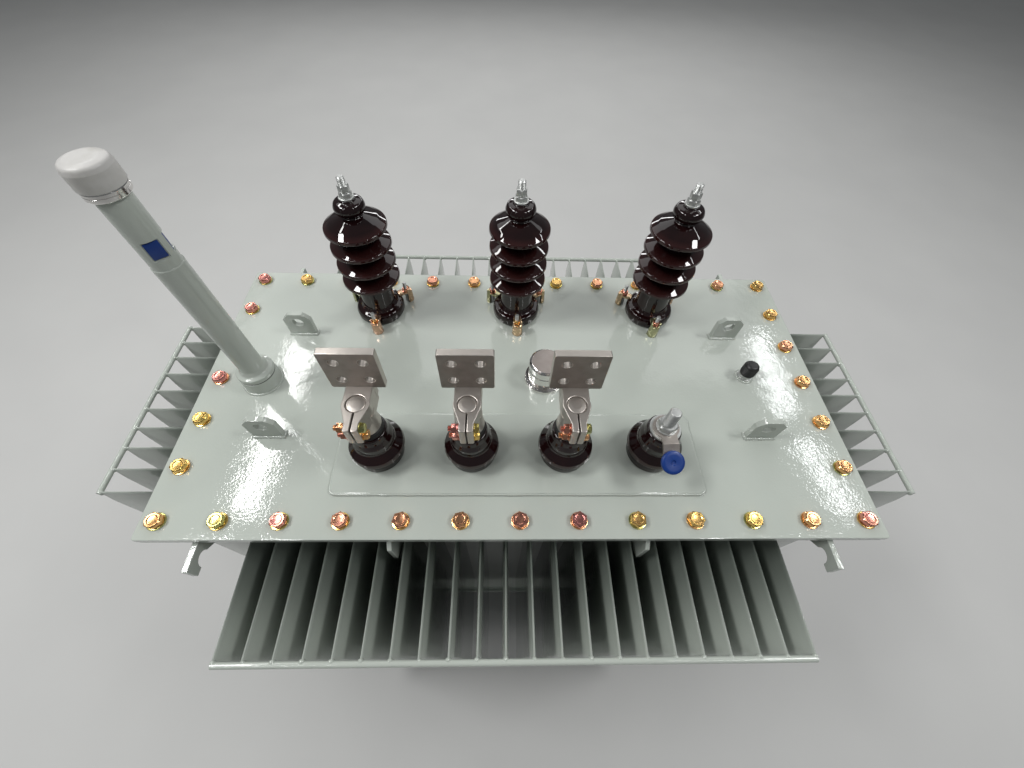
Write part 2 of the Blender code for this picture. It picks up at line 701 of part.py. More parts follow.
def clamp_body_mesh(height):
    """The clamp's plan: jaws in front, round cheeks at the stud, a neck to the palm behind."""
    jaw = JAW_WIDTH / 2
    neck = NECK_WIDTH / 2
    jaw_turn = math.degrees(math.asin(jaw / BARREL_RADIUS))
    neck_turn = math.degrees(math.acos(neck / BARREL_RADIUS))
    rear = PALM_FACE + PALM_THICKNESS / 2
    outline = [(-jaw, -JAW_REACH), (jaw, -JAW_REACH)]
    outline += arc((0, 0), BARREL_RADIUS, jaw_turn - 90, neck_turn, CHEEK_STEPS)
    outline += [(neck, rear), (-neck, rear)]
    outline += arc((0, 0), BARREL_RADIUS, 180 - neck_turn, 270 - jaw_turn, CHEEK_STEPS)
    mesh = flat_mesh("body", [outline], JAW_HEIGHT)
    mesh.transform(Matrix.Translation((0, 0, height - JAW_HEIGHT / 2)))
    return mesh


def palm_mesh(height):
    """The upright palm, and the heel that stands in the neck."""
    half = PALM_WIDTH / 2
    heel = HEEL_WIDTH / 2
    foot = height - HEEL_HEIGHT
    level = height - PALM_DROP
    top = level + PALM_HEIGHT
    outline = (
        (-heel, foot), (heel, foot), (heel, level), (half, level), (half, top), (-half, top),
        (-half, level), (-heel, level),
    )
    shape = bmesh.new()
    faces = (PALM_FACE + PALM_THICKNESS, PALM_FACE)
    add_loft(shape, [[(x, y, z) for x, z in outline] for y in faces])
    return to_mesh(shape, "palm")


def palm_holes_mesh(height):
    """Four bolt holes through the palm, square to its face."""
    shape = bmesh.new()
    middle = height - PALM_DROP + PALM_HEIGHT / 2
    for side in (-1, 1):
        for row in (-1, 1):
            x = side * PALM_HOLE_SPACING / 2
            z = middle + row * PALM_HOLE_SPACING / 2
            place = Matrix.Translation((x, PALM_FACE + PALM_THICKNESS / 2, z))
            bmesh.ops.create_cone(
                shape, cap_ends=True, segments=FINE_STEPS, radius1=PALM_HOLE_RADIUS,
                radius2=PALM_HOLE_RADIUS, depth=PALM_THICKNESS + 2 * OVERRUN,
                matrix=place @ Matrix.Rotation(math.radians(90), 4, "X"),
            )
    return to_mesh(shape, "bolt_holes")


def build_palm_clamp(name, x):
    """A split clamp gripping the stud, with an upright palm for the busbars behind it."""
    foot = LV_SEAL_HEIGHT + SEAT
    height = LV_STUD_TOP - LV_TOP - SEAT - foot
    place = (x, LV_ROW_Y, LV_STUD_FOOT + foot)
    clamp = add_piece(name, clamp_body_mesh(height), "tinned_metal", place)
    shape = bmesh.new()
    add_cylinder(shape, BARREL_RADIUS - SKIRT_SETBACK, 0, height - JAW_HEIGHT / 2, TURNED_STEPS)
    combine(clamp, to_mesh(shape, "skirt"), "UNION")
    combine(clamp, palm_mesh(height), "UNION")
    combine(clamp, palm_holes_mesh(height), "DIFFERENCE")
    shape = bmesh.new()
    add_cylinder(shape, LV_STUD_RADIUS + BORE_CLEARANCE, -OVERRUN, height + OVERRUN, TURNED_STEPS)
    combine(clamp, to_mesh(shape, "bore"), "DIFFERENCE")
    slit = SLIT_WIDTH / 2
    low = (-slit, -JAW_REACH - OVERRUN, -OVERRUN)
    combine(clamp, box_mesh("slit", low, (slit, 0, height + OVERRUN)), "DIFFERENCE")


def build_neutral():
    """A threaded spindle with its nut, a bent lug under the nut and a round plastic cap on it."""
    x = lv_places()[-1]
    top = NEUTRAL_SPINDLE_TOP - LV_TOP - SEAT
    seal = NEUTRAL_SEAL_HEIGHT
    edge = NEUTRAL_SPINDLE_EDGE
    profile = [
        (0, top), (NEUTRAL_SPINDLE_RADIUS - edge, top), (NEUTRAL_SPINDLE_RADIUS, top - edge),
        (NEUTRAL_SPINDLE_RADIUS, seal), (LV_SEAL_RADIUS, seal), (LV_SEAL_RADIUS, 0), (0, 0),
    ]
    add_turned("neutral_spindle", profile, "tinned_metal", (x, LV_ROW_Y, LV_STUD_FOOT), FINE_STEPS)
    lug_level = LV_STUD_FOOT + seal + SEAT
    nut_level = lug_level + NEUTRAL_LUG_THICKNESS + SEAT
    hole = NEUTRAL_SPINDLE_RADIUS + 2 * SEAT
    shape = bmesh.new()
    add_cylinder(shape, NEUTRAL_NUT_RADIUS, 0, NEUTRAL_NUT_HEIGHT, NUT_SIDES)
    nut = add_piece("neutral_nut", to_mesh(shape, "neutral_nut"), "tinned_metal",
                    (x, LV_ROW_Y, nut_level))
    shape = bmesh.new()
    add_cylinder(shape, hole, -OVERRUN, NEUTRAL_NUT_HEIGHT + OVERRUN, FINE_STEPS)
    combine(nut, to_mesh(shape, "thread"), "DIFFERENCE")
    build_neutral_lug((x, LV_ROW_Y, lug_level), hole)


def build_neutral_lug(place, hole):
    """A flat eye round the spindle, and a strap that bends down from it and carries the cap."""
    thick = NEUTRAL_LUG_THICKNESS
    half = NEUTRAL_LUG_WIDTH / 2
    bend = Matrix.Translation((NEUTRAL_LUG_BEND, 0, thick / 2)) @ Matrix.Rotation(NEUTRAL_LUG_SLOPE, 4, "Y")
    mitre = thick / 2 * math.tan(NEUTRAL_LUG_SLOPE / 2) + SEAT
    clear = math.degrees(math.asin(half / NEUTRAL_EYE_RADIUS))
    outline = arc((0, 0), NEUTRAL_EYE_RADIUS, clear, 360 - clear, FINE_STEPS)
    outline += [(NEUTRAL_LUG_BEND + mitre, -half), (NEUTRAL_LUG_BEND + mitre, half)]
    mesh = flat_mesh("neutral_lug", [outline], thick)
    mesh.transform(Matrix.Translation((0, 0, thick / 2)))
    lug = add_piece("neutral_lug", mesh, "tinned_metal", place, NEUTRAL_LUG_TURN)
    reach = (NEUTRAL_LUG_REACH - NEUTRAL_LUG_BEND) / math.cos(NEUTRAL_LUG_SLOPE)
    outline = [(-mitre, half), (-mitre, -half)] + arc((reach, 0), half, -90, 90, NOTCH_STEPS)
    strap = flat_mesh("strap", [outline], thick)
    strap.transform(bend)
    combine(lug, strap, "UNION")
    shape = bmesh.new()
    add_cylinder(shape, hole, -OVERRUN, thick + OVERRUN, FINE_STEPS)
    combine(lug, to_mesh(shape, "eye"), "DIFFERENCE")
    seat = bend @ Matrix.Translation((reach, 0, thick / 2 + SEAT))
    build_neutral_cap(Matrix.Translation(place) @ Matrix.Rotation(NEUTRAL_LUG_TURN, 4, "Z") @ seat)


def build_neutral_cap(seat):
    """A flat plastic disc on the strap's end, with a dimple in its middle."""
    top = NEUTRAL_CAP_THICKNESS
    edge = NEUTRAL_CAP_EDGE
    dimple = NEUTRAL_CAP_DIMPLE_RADIUS
    profile = [
        (0, top - NEUTRAL_CAP_DIMPLE_DEPTH), (dimple - edge, top - NEUTRAL_CAP_DIMPLE_DEPTH),
        (dimple, top), (NEUTRAL_CAP_RADIUS - edge, top), (NEUTRAL_CAP_RADIUS, top - edge),
        (NEUTRAL_CAP_RADIUS, 0), (0, 0),
    ]
    cap = add_turned("neutral_cap", profile, "blue_plastic", seat.to_translation())
    cap.rotation_euler = seat.to_euler()


def build_gauge():
    """The standpipe on its welded boss, then the ring and the cap that close it."""
    place = (GAUGE_X, GAUGE_Y, DECK)
    top = GAUGE_PIPE_TOP
    wide = GAUGE_PIPE_RADIUS + GAUGE_STEP
    profile = [
        (0, top), (GAUGE_PIPE_RADIUS, top), (GAUGE_PIPE_RADIUS, GAUGE_STEP_LEVEL),
        (wide, GAUGE_STEP_LEVEL - GAUGE_STEP), (wide, GAUGE_COLLAR_TOP + GAUGE_FLARE),
        (GAUGE_COLLAR_RADIUS, GAUGE_COLLAR_TOP), (GAUGE_COLLAR_RADIUS, GAUGE_BOSS_HEIGHT),
        (GAUGE_BOSS_RADIUS, GAUGE_BOSS_HEIGHT), (GAUGE_BOSS_RADIUS, 0), (0, 0),
    ]
    pipe = add_turned("gauge_pipe", profile, "tank_paint", place, turn=GAUGE_WINDOW_TURN)
    half = GAUGE_WINDOW_WIDTH / 2
    low = (-half, -wide - OVERRUN, GAUGE_WINDOW_LEVEL - GAUGE_WINDOW_HEIGHT / 2)
    high = (half, GAUGE_WINDOW_DEPTH - GAUGE_PIPE_RADIUS, GAUGE_WINDOW_LEVEL + GAUGE_WINDOW_HEIGHT / 2)
    for side in range(2):
        window = box_mesh("window_" + str(side + 1), low, high)
        window.transform(Matrix.Rotation(side * math.radians(90), 4, "Z"))
        combine(pipe, window, "DIFFERENCE")
    ring = [(0, GAUGE_RING_HEIGHT), (GAUGE_RING_RADIUS, GAUGE_RING_HEIGHT), (GAUGE_RING_RADIUS, 0), (0, 0)]
    level = DECK + top + SEAT
    add_turned("gauge_ring", ring, "bright_metal", (GAUGE_X, GAUGE_Y, level))
    level += GAUGE_RING_HEIGHT + SEAT
    rim = GAUGE_CAP_RADIUS - GAUGE_CAP_ROUND
    shoulder = GAUGE_CAP_HEIGHT - GAUGE_CAP_ROUND
    cap = [(0, GAUGE_CAP_HEIGHT)]
    cap += [(r, z) for r, z in reversed(arc((rim, shoulder), GAUGE_CAP_ROUND, 0, 90, CORNER_STEPS))]
    cap += [(GAUGE_CAP_RADIUS, 0), (0, 0)]
    add_turned("gauge_cap", cap, "white_plastic", (GAUGE_X, GAUGE_Y, level))


def build_fittings():
    """The pressure relief valve and the capped thermometer pocket."""
    edge = RELIEF_EDGE
    valve = [
        (0, RELIEF_TOP), (RELIEF_RADIUS - edge, RELIEF_TOP), (RELIEF_RADIUS, RELIEF_TOP - edge),
        (RELIEF_RADIUS, RELIEF_FLANGE_HEIGHT), (RELIEF_FLANGE_RADIUS, RELIEF_FLANGE_HEIGHT),
        (RELIEF_FLANGE_RADIUS, 0), (0, 0),
    ]
    add_turned("relief_valve", valve, "bright_metal", (RELIEF_X, RELIEF_Y, DECK))
    shape = bmesh.new()
    add_cylinder(shape, POCKET_RADIUS, 0, POCKET_HEIGHT, NUT_SIDES)
    add_piece("thermometer_pocket", to_mesh(shape, "thermometer_pocket"), "bright_metal",
              (POCKET_X, POCKET_Y, DECK))
    rim = POCKET_CAP_RADIUS - POCKET_CAP_ROUND
    shoulder = POCKET_CAP_HEIGHT - POCKET_CAP_ROUND
    cap = [(0, POCKET_CAP_HEIGHT)]
    cap += list(reversed(arc((rim, shoulder), POCKET_CAP_ROUND, 0, 90, CORNER_STEPS)))
    cap += [(POCKET_CAP_RADIUS, 0), (0, 0)]
    add_turned("pocket_cap", cap, "black_plastic", (POCKET_X, POCKET_Y, DECK + POCKET_HEIGHT + SEAT))


clear_scene()
PARTS = new_collection("power_transformer")
HELPERS = new_collection("cutters")
build_base()
build_walls()
build_core()
build_flange()
build_cover()
build_lugs()
build_hooks()
build_hv_bushings()
build_lv_bushings()
build_neutral()
build_gauge()
build_fittings()
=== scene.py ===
# %% [markdown]
# # A power transformer, dressed for its portrait
# The CAD model of an oil-filled transformer comes in as a frame of named solids. This lesson gives every
# surface its finish, rounds the edges that catch the light, and adds bolts, claws, weld beads, nuts and
# seals. Places are read from the frame wherever a solid carries the piece.

import math

import bmesh
import bpy
from mathutils import Matrix, Vector


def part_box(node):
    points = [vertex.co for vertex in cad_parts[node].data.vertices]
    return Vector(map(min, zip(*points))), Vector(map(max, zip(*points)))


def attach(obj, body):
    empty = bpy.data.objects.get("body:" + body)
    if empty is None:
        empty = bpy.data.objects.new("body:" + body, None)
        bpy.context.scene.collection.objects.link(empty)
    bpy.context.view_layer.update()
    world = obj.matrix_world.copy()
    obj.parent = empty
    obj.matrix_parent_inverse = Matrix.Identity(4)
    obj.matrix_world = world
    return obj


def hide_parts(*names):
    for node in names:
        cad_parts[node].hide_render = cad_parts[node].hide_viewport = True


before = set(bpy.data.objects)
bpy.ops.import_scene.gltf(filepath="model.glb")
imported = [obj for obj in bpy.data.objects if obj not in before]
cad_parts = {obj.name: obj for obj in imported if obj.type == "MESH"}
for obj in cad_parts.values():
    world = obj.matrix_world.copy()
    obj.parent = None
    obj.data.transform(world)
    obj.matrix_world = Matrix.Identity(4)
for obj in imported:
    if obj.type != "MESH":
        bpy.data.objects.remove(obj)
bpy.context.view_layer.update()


def placed(name, data):
    """A new object in the scene, at the origin."""
    made = bpy.data.objects.new(name, data)
    bpy.context.scene.collection.objects.link(made)
    return made


# %% [markdown]
# ## The viewpoint
# The photograph looks down through a wide lens. The camera's place and turn were worked out from the
# cover's corners and bolts. Turns are made in order: roll, pitch up from straight down, then yaw.

# %% Camera
FOCAL_PIXELS = 419.004
FRAME_WIDTH_PIXELS = 1024
FRAME_HEIGHT_PIXELS = 768
SENSOR = 36.0
VIEW_PITCH = 0.98203
VIEW_ROLL = 0.0514
VIEW_YAW = -0.05285
VIEW_PLACE = (-0.036103, -0.486035, 1.769201)

camera_data = bpy.data.cameras.new("viewpoint")
camera_data.sensor_width = SENSOR
camera_data.lens = FOCAL_PIXELS * SENSOR / FRAME_WIDTH_PIXELS
camera_data.clip_start = 0.01
camera = placed("viewpoint", camera_data)
VIEW_TURN = Matrix.Rotation(VIEW_YAW, 4, "Z") @ Matrix.Rotation(math.pi / 2 - VIEW_PITCH, 4, "X")
VIEW_TURN = VIEW_TURN @ Matrix.Rotation(VIEW_ROLL, 4, "Z")
camera.matrix_world = Matrix.Translation(VIEW_PLACE) @ VIEW_TURN
bpy.context.scene.camera = camera
print("camera lens:", round(camera_data.lens, 2), "mm")

# %% [markdown]
# ## Node trees as plain expressions
# A material's pattern is a chain of small sums, and so is the rule that folds the tank's walls. A small
# class wraps a socket and lets Python's own operators add the Math nodes. Anything else comes from one
# method, `node`, which serves shader trees and geometry trees alike.


# %% A socket that can be added and multiplied
class Wire:
    def __init__(self, graph, socket):
        self.graph = graph
        self.socket = socket

    def maths(self, operation, *values):
        return self.graph.node("ShaderNodeMath", {"operation": operation}, dict(enumerate(values)))

    def __rsub__(self, other):
        return self.maths("SUBTRACT", other, self)

    def __neg__(self):
        return self * -1

    def between(self, low, high):
        """0 below low and 1 above high, with a smooth step from one to the other."""
        sockets = {"Value": self, "From Min": low, "From Max": high}
        return self.graph.node("ShaderNodeMapRange", {"interpolation_type": "SMOOTHSTEP"}, sockets)


def math_node(operation):
    """A method that adds one Math node for the wire and what it is reckoned with."""
    return lambda *values: values[0].maths(operation, *values)


for sign, operation in {
    "__add__": "ADD", "__radd__": "ADD", "__sub__": "SUBTRACT", "__mul__": "MULTIPLY", "__rmul__": "MULTIPLY",
    "__truediv__": "DIVIDE", "__pow__": "POWER", "__abs__": "ABSOLUTE", "most": "MINIMUM", "least": "MAXIMUM",
}.items():
    setattr(Wire, sign, math_node(operation))


class Graph:
    """Builds a node tree one node at a time."""

    def __init__(self, tree):
        self.tree = tree

    def node(self, kind, settings=None, sockets=None, output=0):
        made = self.tree.nodes.new(kind)
        for name, value in (settings or {}).items():
            setattr(made, name, value)
        for name, value in (sockets or {}).items():
            if isinstance(value, Wire):
                self.tree.links.new(value.socket, made.inputs[name])
            else:
                made.inputs[name].default_value = value
        return Wire(self, made.outputs[output])

    def place(self, stretch=(1, 1, 1)):
        """Object coordinates in metres, squeezed along the axes where stretch is above 1."""
        point = self.node("ShaderNodeTexCoord", output="Object")
        return self.node("ShaderNodeMapping", None, {"Vector": point, "Scale": stretch})

    def noise(self, size, detail=2.0, stretch=(1, 1, 1)):
        """Noise from 0 to 1 whose lumps are about size metres across."""
        sockets = {"Vector": self.place(stretch), "Scale": 1 / size, "Detail": detail}
        return self.node("ShaderNodeTexNoise", None, sockets, "Fac")

    def attribute(self, name):
        return self.node("ShaderNodeAttribute", {"attribute_name": name}, None, "Fac")

    def ramp(self, factor, *stops):
        """A colour from a row of (place, colour) stops."""
        made = self.tree.nodes.new("ShaderNodeValToRGB")
        elements = made.color_ramp.elements
        while len(elements) < len(stops):
            elements.new(1.0)
        for element, (position, colour) in zip(elements, stops):
            element.position = position
            element.color = (*colour, 1.0)
        self.tree.links.new(factor.socket, made.inputs[0])
        return Wire(self, made.outputs[0])

    def mix(self, factor, low, high):
        """From colour low to colour high."""
        low, high = [(*c, 1.0) if isinstance(c, tuple) else c for c in (low, high)]
        return self.node("ShaderNodeMix", {"data_type": "RGBA"}, {0: factor, 6: low, 7: high}, 2)

    def bump(self, height, depth):
        return self.node("ShaderNodeBump", None, {"Height": height, "Distance": depth, "Strength": 1.0})


FINISHES = {}


def finish(name, constants=None, **patterns):
    """A material. Constants sit on the shader's own sockets, and patterns are wires into it."""
    made = bpy.data.materials.new(name)
    made.use_nodes = True
    graph = Graph(made.node_tree)
    shader = made.node_tree.nodes["Principled BSDF"]
    for socket, value in (constants or {}).items():
        shader.inputs[socket].default_value = value
    for socket, pattern in patterns.items():
        made.node_tree.links.new(pattern(graph).socket, shader.inputs[socket.replace("_", " ")])
    FINISHES[name] = made
    return made


# %% [markdown]
# ## Tank paint
# The tank wears a pale grey-green gloss enamel. Spraying leaves an orange-peel surface a few millimetres from
# lump to lump, sloped by half a degree: it breaks the edge of a lamp's reflection into sparks and leaves
# its middle whole. Dust dulls the gloss in broad clouds. Between the fins the paint is darkened towards a
# near black: this is painted shade, for the shadow that falls between them. The walls carry a value
# for that, `deep`, from 0 at a fin's nose to 1 at its root.

# %% Tank paint
PAINT = (0.445, 0.480, 0.435)
PAINT_WORN = (0.400, 0.430, 0.390)
# Painted shade: the near black that the paint darkens to between the fins.
PAINTED_SHADE_BETWEEN_FINS = (0.110, 0.130, 0.112)


def paint_colour(graph):
    clouds = graph.noise(0.16, 4.0).between(0.35, 0.75)
    specks = graph.noise(0.004, 2.0).between(0.68, 0.76)
    sprayed = graph.mix(clouds * 0.55 + specks * 0.3, PAINT, PAINT_WORN)
    # Painted shade between the fins, growing from a fin's nose to its root.
    return graph.mix(graph.attribute("deep").between(0.0, 0.7) * 0.85, sprayed, PAINTED_SHADE_BETWEEN_FINS)


finish("tank_paint", {"Specular IOR Level": 0.6},
       Base_Color=paint_colour,
       Roughness=lambda graph: graph.noise(0.09, 5.0).between(0.3, 0.8) * 0.05 + 0.035,
       Normal=lambda graph: graph.bump(graph.noise(0.0042, 1.0) + graph.noise(0.024, 1.0) * 2.0, 0.00011))

# %% [markdown]
# ## Brown glazed porcelain
# The glaze is glass over clay: almost black face on, with sharp reflections, and thinner on rims, where
# the redder body shows. The mesh carries a value for the rims, `rim`.

# %% Porcelain
GLAZE_DEEP = (0.0085, 0.0024, 0.0026)
GLAZE_THIN = (0.030, 0.0085, 0.0080)


def glaze_colour(graph):
    flow = graph.noise(0.03, 3.0, (1, 1, 0.4)).between(0.4, 0.8) * 0.25
    return graph.mix(graph.attribute("rim") * 0.7 + flow, GLAZE_DEEP, GLAZE_THIN)


finish("porcelain", {"Specular IOR Level": 0.6},
       Base_Color=glaze_colour,
       Roughness=lambda graph: graph.noise(0.02, 2.0) * 0.02 + 0.02,
       Normal=lambda graph: graph.bump(graph.noise(0.016, 1.0), 0.00016))

# %% [markdown]
# ## Yellow zinc
# Zinc plating leaves a film that shines gold, pink and green like oil on water. Every copy carries a value
# of its own, `tint`, and a slow noise wanders on from there. The claws wear a paler film.

# %% Yellow zinc
ZINC = [(0.0, (0.74, 0.30, 0.27)), (0.25, (0.82, 0.40, 0.24)), (0.50, (0.86, 0.50, 0.21)),
        (0.72, (0.82, 0.56, 0.17)), (0.88, (0.60, 0.54, 0.19)), (1.0, (0.44, 0.46, 0.20))]
ZINC_PALE = [(0.0, (0.62, 0.36, 0.28)), (0.4, (0.66, 0.46, 0.30)), (0.7, (0.58, 0.50, 0.28)),
             (1.0, (0.44, 0.44, 0.26))]


def zinc(name, metallic, stops, size, drift, offset):
    finish(name, {"Metallic": metallic},
           Base_Color=lambda graph: graph.ramp(
               graph.attribute("tint") + graph.noise(size, 2.0) * drift - offset, *stops),
           Roughness=lambda graph: graph.noise(0.006, 3.0) * 0.20 + 0.14,
           Normal=fine_grain)


def fine_grain(graph):
    return graph.bump(graph.noise(0.0016, 2.0), 0.00006)


zinc("zinc_yellow", 1.0, ZINC, 0.012, 0.45, 0.22)
zinc("zinc_pale", 0.95, ZINC_PALE, 0.010, 0.40, 0.20)

# %% [markdown]
# ## Bare metals
# The palms are tinned and etched. Their broad faces are painted a dull grey-brown, and sawn edges and drilled
# holes stay bright: partly the etched surface, partly painted shade on the broad faces and a painted
# highlight on the edges. A face's value `darker_face` is 1 where a face is painted darker. The high-voltage
# studs are galvanised, duller and bluer. The relief valve is polished and nearly mirrors the hall.

# %% Tinned, galvanised and polished metal
def tin_colour(graph):
    stain = graph.noise(0.018, 4.0).between(0.35, 0.8) * 0.2
    # Painted shade on the palms' broad faces, partly the etched surface; the edges stay bright as a painted
    # highlight.
    return graph.mix(graph.attribute("darker_face") * 0.8 + stain, (0.52, 0.48, 0.44), (0.26, 0.23, 0.21))


def polish_colour(graph):
    dull = graph.noise(0.02, 3.0) * 0.3 + graph.attribute("darker_face") * 0.7
    return graph.mix(dull, (0.86, 0.85, 0.83), (0.40, 0.34, 0.31))


finish("tinned_metal", {"Metallic": 0.92},
       Base_Color=tin_colour,
       Roughness=lambda graph: graph.noise(0.007, 3.0) * 0.12 + graph.attribute("darker_face") * 0.08 + 0.34,
       Normal=lambda graph: graph.bump(graph.noise(0.0012, 2.0, (0.04, 1, 1)), 0.00008))
finish("galvanised", {"Metallic": 0.85},
       Base_Color=lambda graph: graph.mix(graph.noise(0.005, 2.0), (0.66, 0.67, 0.65), (0.40, 0.41, 0.40)),
       Roughness=lambda graph: graph.noise(0.004, 2.0) * 0.25 + 0.30,
       Normal=fine_grain)
finish("bright_metal", {"Metallic": 1.0},
       Base_Color=polish_colour,
       Roughness=lambda graph: graph.noise(0.01, 3.0) * 0.08 + graph.attribute("darker_face") * 0.28 + 0.13)

# %% [markdown]
# ## Core and windings
# The frame holds the core inside the tank, so it gets its finish too: varnished steel sheets, stacked
# front to back, which show as fine lines across the depth.

# %% Core steel
def core_colour(graph):
    sheets = graph.noise(0.004, 2.0, (0.02, 1, 0.02))
    return graph.mix(sheets.between(0.3, 0.7), (0.110, 0.080, 0.060), (0.200, 0.150, 0.110))


finish("core_steel", {"Metallic": 0.2},
       Base_Color=core_colour,
       Roughness=lambda graph: graph.noise(0.02, 3.0) * 0.2 + 0.45)

# %% [markdown]
# ## Plastics and rubber
# The gauge's cap is white and a little dusty. Seals and the pocket's cap are black rubber, grey where
# rubbed. The neutral's lug ends in a blue disc.

# %% Plastics and rubber
def plastic(name, clean, dusty, roughness):
    finish(name, None,
           Base_Color=lambda graph: graph.mix(graph.noise(0.02, 4.0).between(0.4, 0.8), clean, dusty),
           Roughness=lambda graph: graph.noise(0.008, 3.0) * 0.15 + roughness,
           Normal=lambda graph: graph.bump(graph.noise(0.0014, 1.0), 0.00006))


plastic("white_plastic", (0.56, 0.55, 0.53), (0.48, 0.47, 0.44), 0.32)
plastic("black_plastic", (0.008, 0.008, 0.008), (0.022, 0.022, 0.021), 0.35)
plastic("blue_plastic", (0.003, 0.032, 0.190), (0.006, 0.042, 0.220), 0.30)
print("finishes:", ", ".join(FINISHES))

# %% [markdown]
# ## Making pieces
# Every piece is a plain mesh in the frame's own metres, on an object at the origin. One helper marks its
# hard edges, gives it its finish, by default the one that its slot names, hangs it on the root and hides
# the solids that it stands for.

# %% Piece helpers
SHARP = math.radians(32)
PLATE_SHARP = math.radians(20)


def add_piece(name, mesh, slot, replaces=(), finish_name=None, sharp=SHARP):
    mesh.name = name
    mesh.materials.clear()
    mesh.materials.append(FINISHES[finish_name or slot])
    mesh.shade_smooth()
    mesh.set_sharp_from_angle(angle=sharp)
    piece = placed(name, mesh)
    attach(piece, "root")
    if replaces:
        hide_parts(*replaces)
    return piece


def mesh_from(shape, name="shape"):
    mesh = bpy.data.meshes.new(name)
    bmesh.ops.recalc_face_normals(shape, faces=shape.faces)
    shape.to_mesh(mesh)
    shape.free()
    return mesh


def joined(meshes):
    """Several meshes as one, each left as it is."""
    shape = bmesh.new()
    for mesh in meshes:
        shape.from_mesh(mesh)
    mesh = bpy.data.meshes.new("joined")
    shape.to_mesh(mesh)
    shape.free()
    return mesh


def middle(node):
    """The centre of a solid in plan, and its lowest and highest level."""
    low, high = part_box(node)
    return (low.x + high.x) / 2, (low.y + high.y) / 2, low.z, high.z


def applied(mesh, prepare):
    """Puts a mesh on a passing object, lets prepare add modifiers to it, and returns what comes out."""
    carrier = placed("carrier", mesh)
    prepare(carrier)
    bpy.context.view_layer.update()
    evaluated = carrier.evaluated_get(bpy.context.evaluated_depsgraph_get())
    result = bpy.data.meshes.new_from_object(evaluated)
    bpy.data.objects.remove(carrier)
    return result


# %% [markdown]
# ## Rounded edges
# A thin line of light along each edge tells the eye how thick a plate is. Each sharp CAD solid is copied,
# its triangles are merged back into flat faces, and a Bevel modifier rounds the copy. The first edge of
# each rounding stays sharp, or the shading of a broad face would bend towards its rim, and so would every
# reflection in it.


# %% Rounded copies of flat solids
def rounded(mesh, width, segments=2, least=28):
    def prepare(carrier):
        bevel = carrier.modifiers.new("edges", "BEVEL")
        bevel.width = width
        bevel.segments = segments
        bevel.limit_method = "ANGLE"
        bevel.angle_limit = math.radians(least)

    return applied(mesh, prepare)


def merged(mesh, gap):
    """Loose corners joined, and triangles that lie in one plane made one face again."""
    shape = bmesh.new()
    shape.from_mesh(mesh)
    bmesh.ops.remove_doubles(shape, verts=shape.verts, dist=gap)
    bmesh.ops.dissolve_limit(shape, angle_limit=math.radians(1), verts=shape.verts, edges=shape.edges)
    return mesh_from(shape)


def flat_faces(node):
    return merged(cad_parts[node].data, 0.00002)


PLATE_EDGE = 0.0012
PLATES = ["cover_plate", "lv_mounting_plate", "tank_bottom", "base_channel_left", "base_channel_right"]
PLATES += [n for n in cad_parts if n.startswith(("tank_flange", "cover_lug", "tank_hook"))]
for node in PLATES:
    edged = rounded(flat_faces(node), PLATE_EDGE)
    add_piece(node + "_edged", edged, "tank_paint", (node,), sharp=PLATE_SHARP)
print("rounded plates:", len(PLATES))

# %% [markdown]
# ## Recipes
# Anything that repeats by a rule is grown by Geometry Nodes: folded walls, fasteners, weld beads. A recipe
# is a node tree with named inputs, run once on an empty carrier, and kept as a plain mesh.


# %% A geometry tree with named inputs
class Recipe(Graph):
    def __init__(self, name, sizes, counts=(), shapes=()):
        super().__init__(bpy.data.node_groups.new(name, "GeometryNodeTree"))
        face = self.tree.interface
        face.new_socket("Geometry", in_out="OUTPUT", socket_type="NodeSocketGeometry")
        face.new_socket("Geometry", in_out="INPUT", socket_type="NodeSocketGeometry")
        self.keys = {}
        kinds = {"Float": sizes, "Int": counts, "Object": shapes, "Material": ["Finish"]}
        for kind, labels in kinds.items():
            for label in labels:
                made = face.new_socket(label, in_out="INPUT", socket_type="NodeSocket" + kind)
                self.keys[label] = made.identifier
        self.way_in = self.tree.nodes.new("NodeGroupInput")
        self.way_out = self.tree.nodes.new("NodeGroupOutput")

    def given(self, label):
        return Wire(self, self.way_in.outputs[label])

    def place(self, stretch=(1, 1, 1)):
        """The points' own place takes the part that Object coordinates play in a material."""
        point = self.node("GeometryNodeInputPosition")
        return self.node("ShaderNodeVectorMath", {"operation": "MULTIPLY"}, {0: point, 1: stretch})

    def geo(self, kind, sockets=None, settings=None, output=0):
        return self.node("GeometryNode" + kind, settings, sockets, output)

    def point(self, x=0.0, y=0.0, z=0.0):
        return self.node("ShaderNodeCombineXYZ", None, {0: x, 1: y, 2: z})

    def split(self):
        point = self.node("GeometryNodeInputPosition")
        return [self.node("ShaderNodeSeparateXYZ", None, {0: point}, axis) for axis in range(3)]

    def moved(self, geometry, **how):
        return self.geo("SetPosition", {"Geometry": geometry, **how})

    def copies(self, points, shape, **how):
        return self.geo("InstanceOnPoints", {"Points": points, "Instance": shape, **how})

    def marked(self, geometry, name, value, domain="POINT"):
        """Stores a value that a material can read."""
        return self.geo("StoreNamedAttribute", {"Geometry": geometry, "Name": name, "Value": value},
                        {"data_type": "FLOAT", "domain": domain})

    def chance(self, low, high, seed):
        """A random number for each point."""
        sockets = {2: low, 3: high, "Seed": seed}
        return self.node("FunctionNodeRandomValue", {"data_type": "FLOAT"}, sockets, 1)

    def turned(self, angles):
        return self.node("FunctionNodeEulerToRotation", None, {0: angles})

    def together(self, *parts):
        made = self.tree.nodes.new("GeometryNodeJoinGeometry")
        for part in parts:
            self.tree.links.new(part.socket, made.inputs[0])
        return Wire(self, made.outputs[0])

    def serve(self, geometry):
        """Real copies in place of instances, then the finish, then out."""
        real = self.geo("RealizeInstances", {"Geometry": geometry})
        done = self.geo("SetMaterial", {"Geometry": real, "Material": self.given("Finish")})
        self.tree.links.new(done.socket, self.way_out.inputs[0])


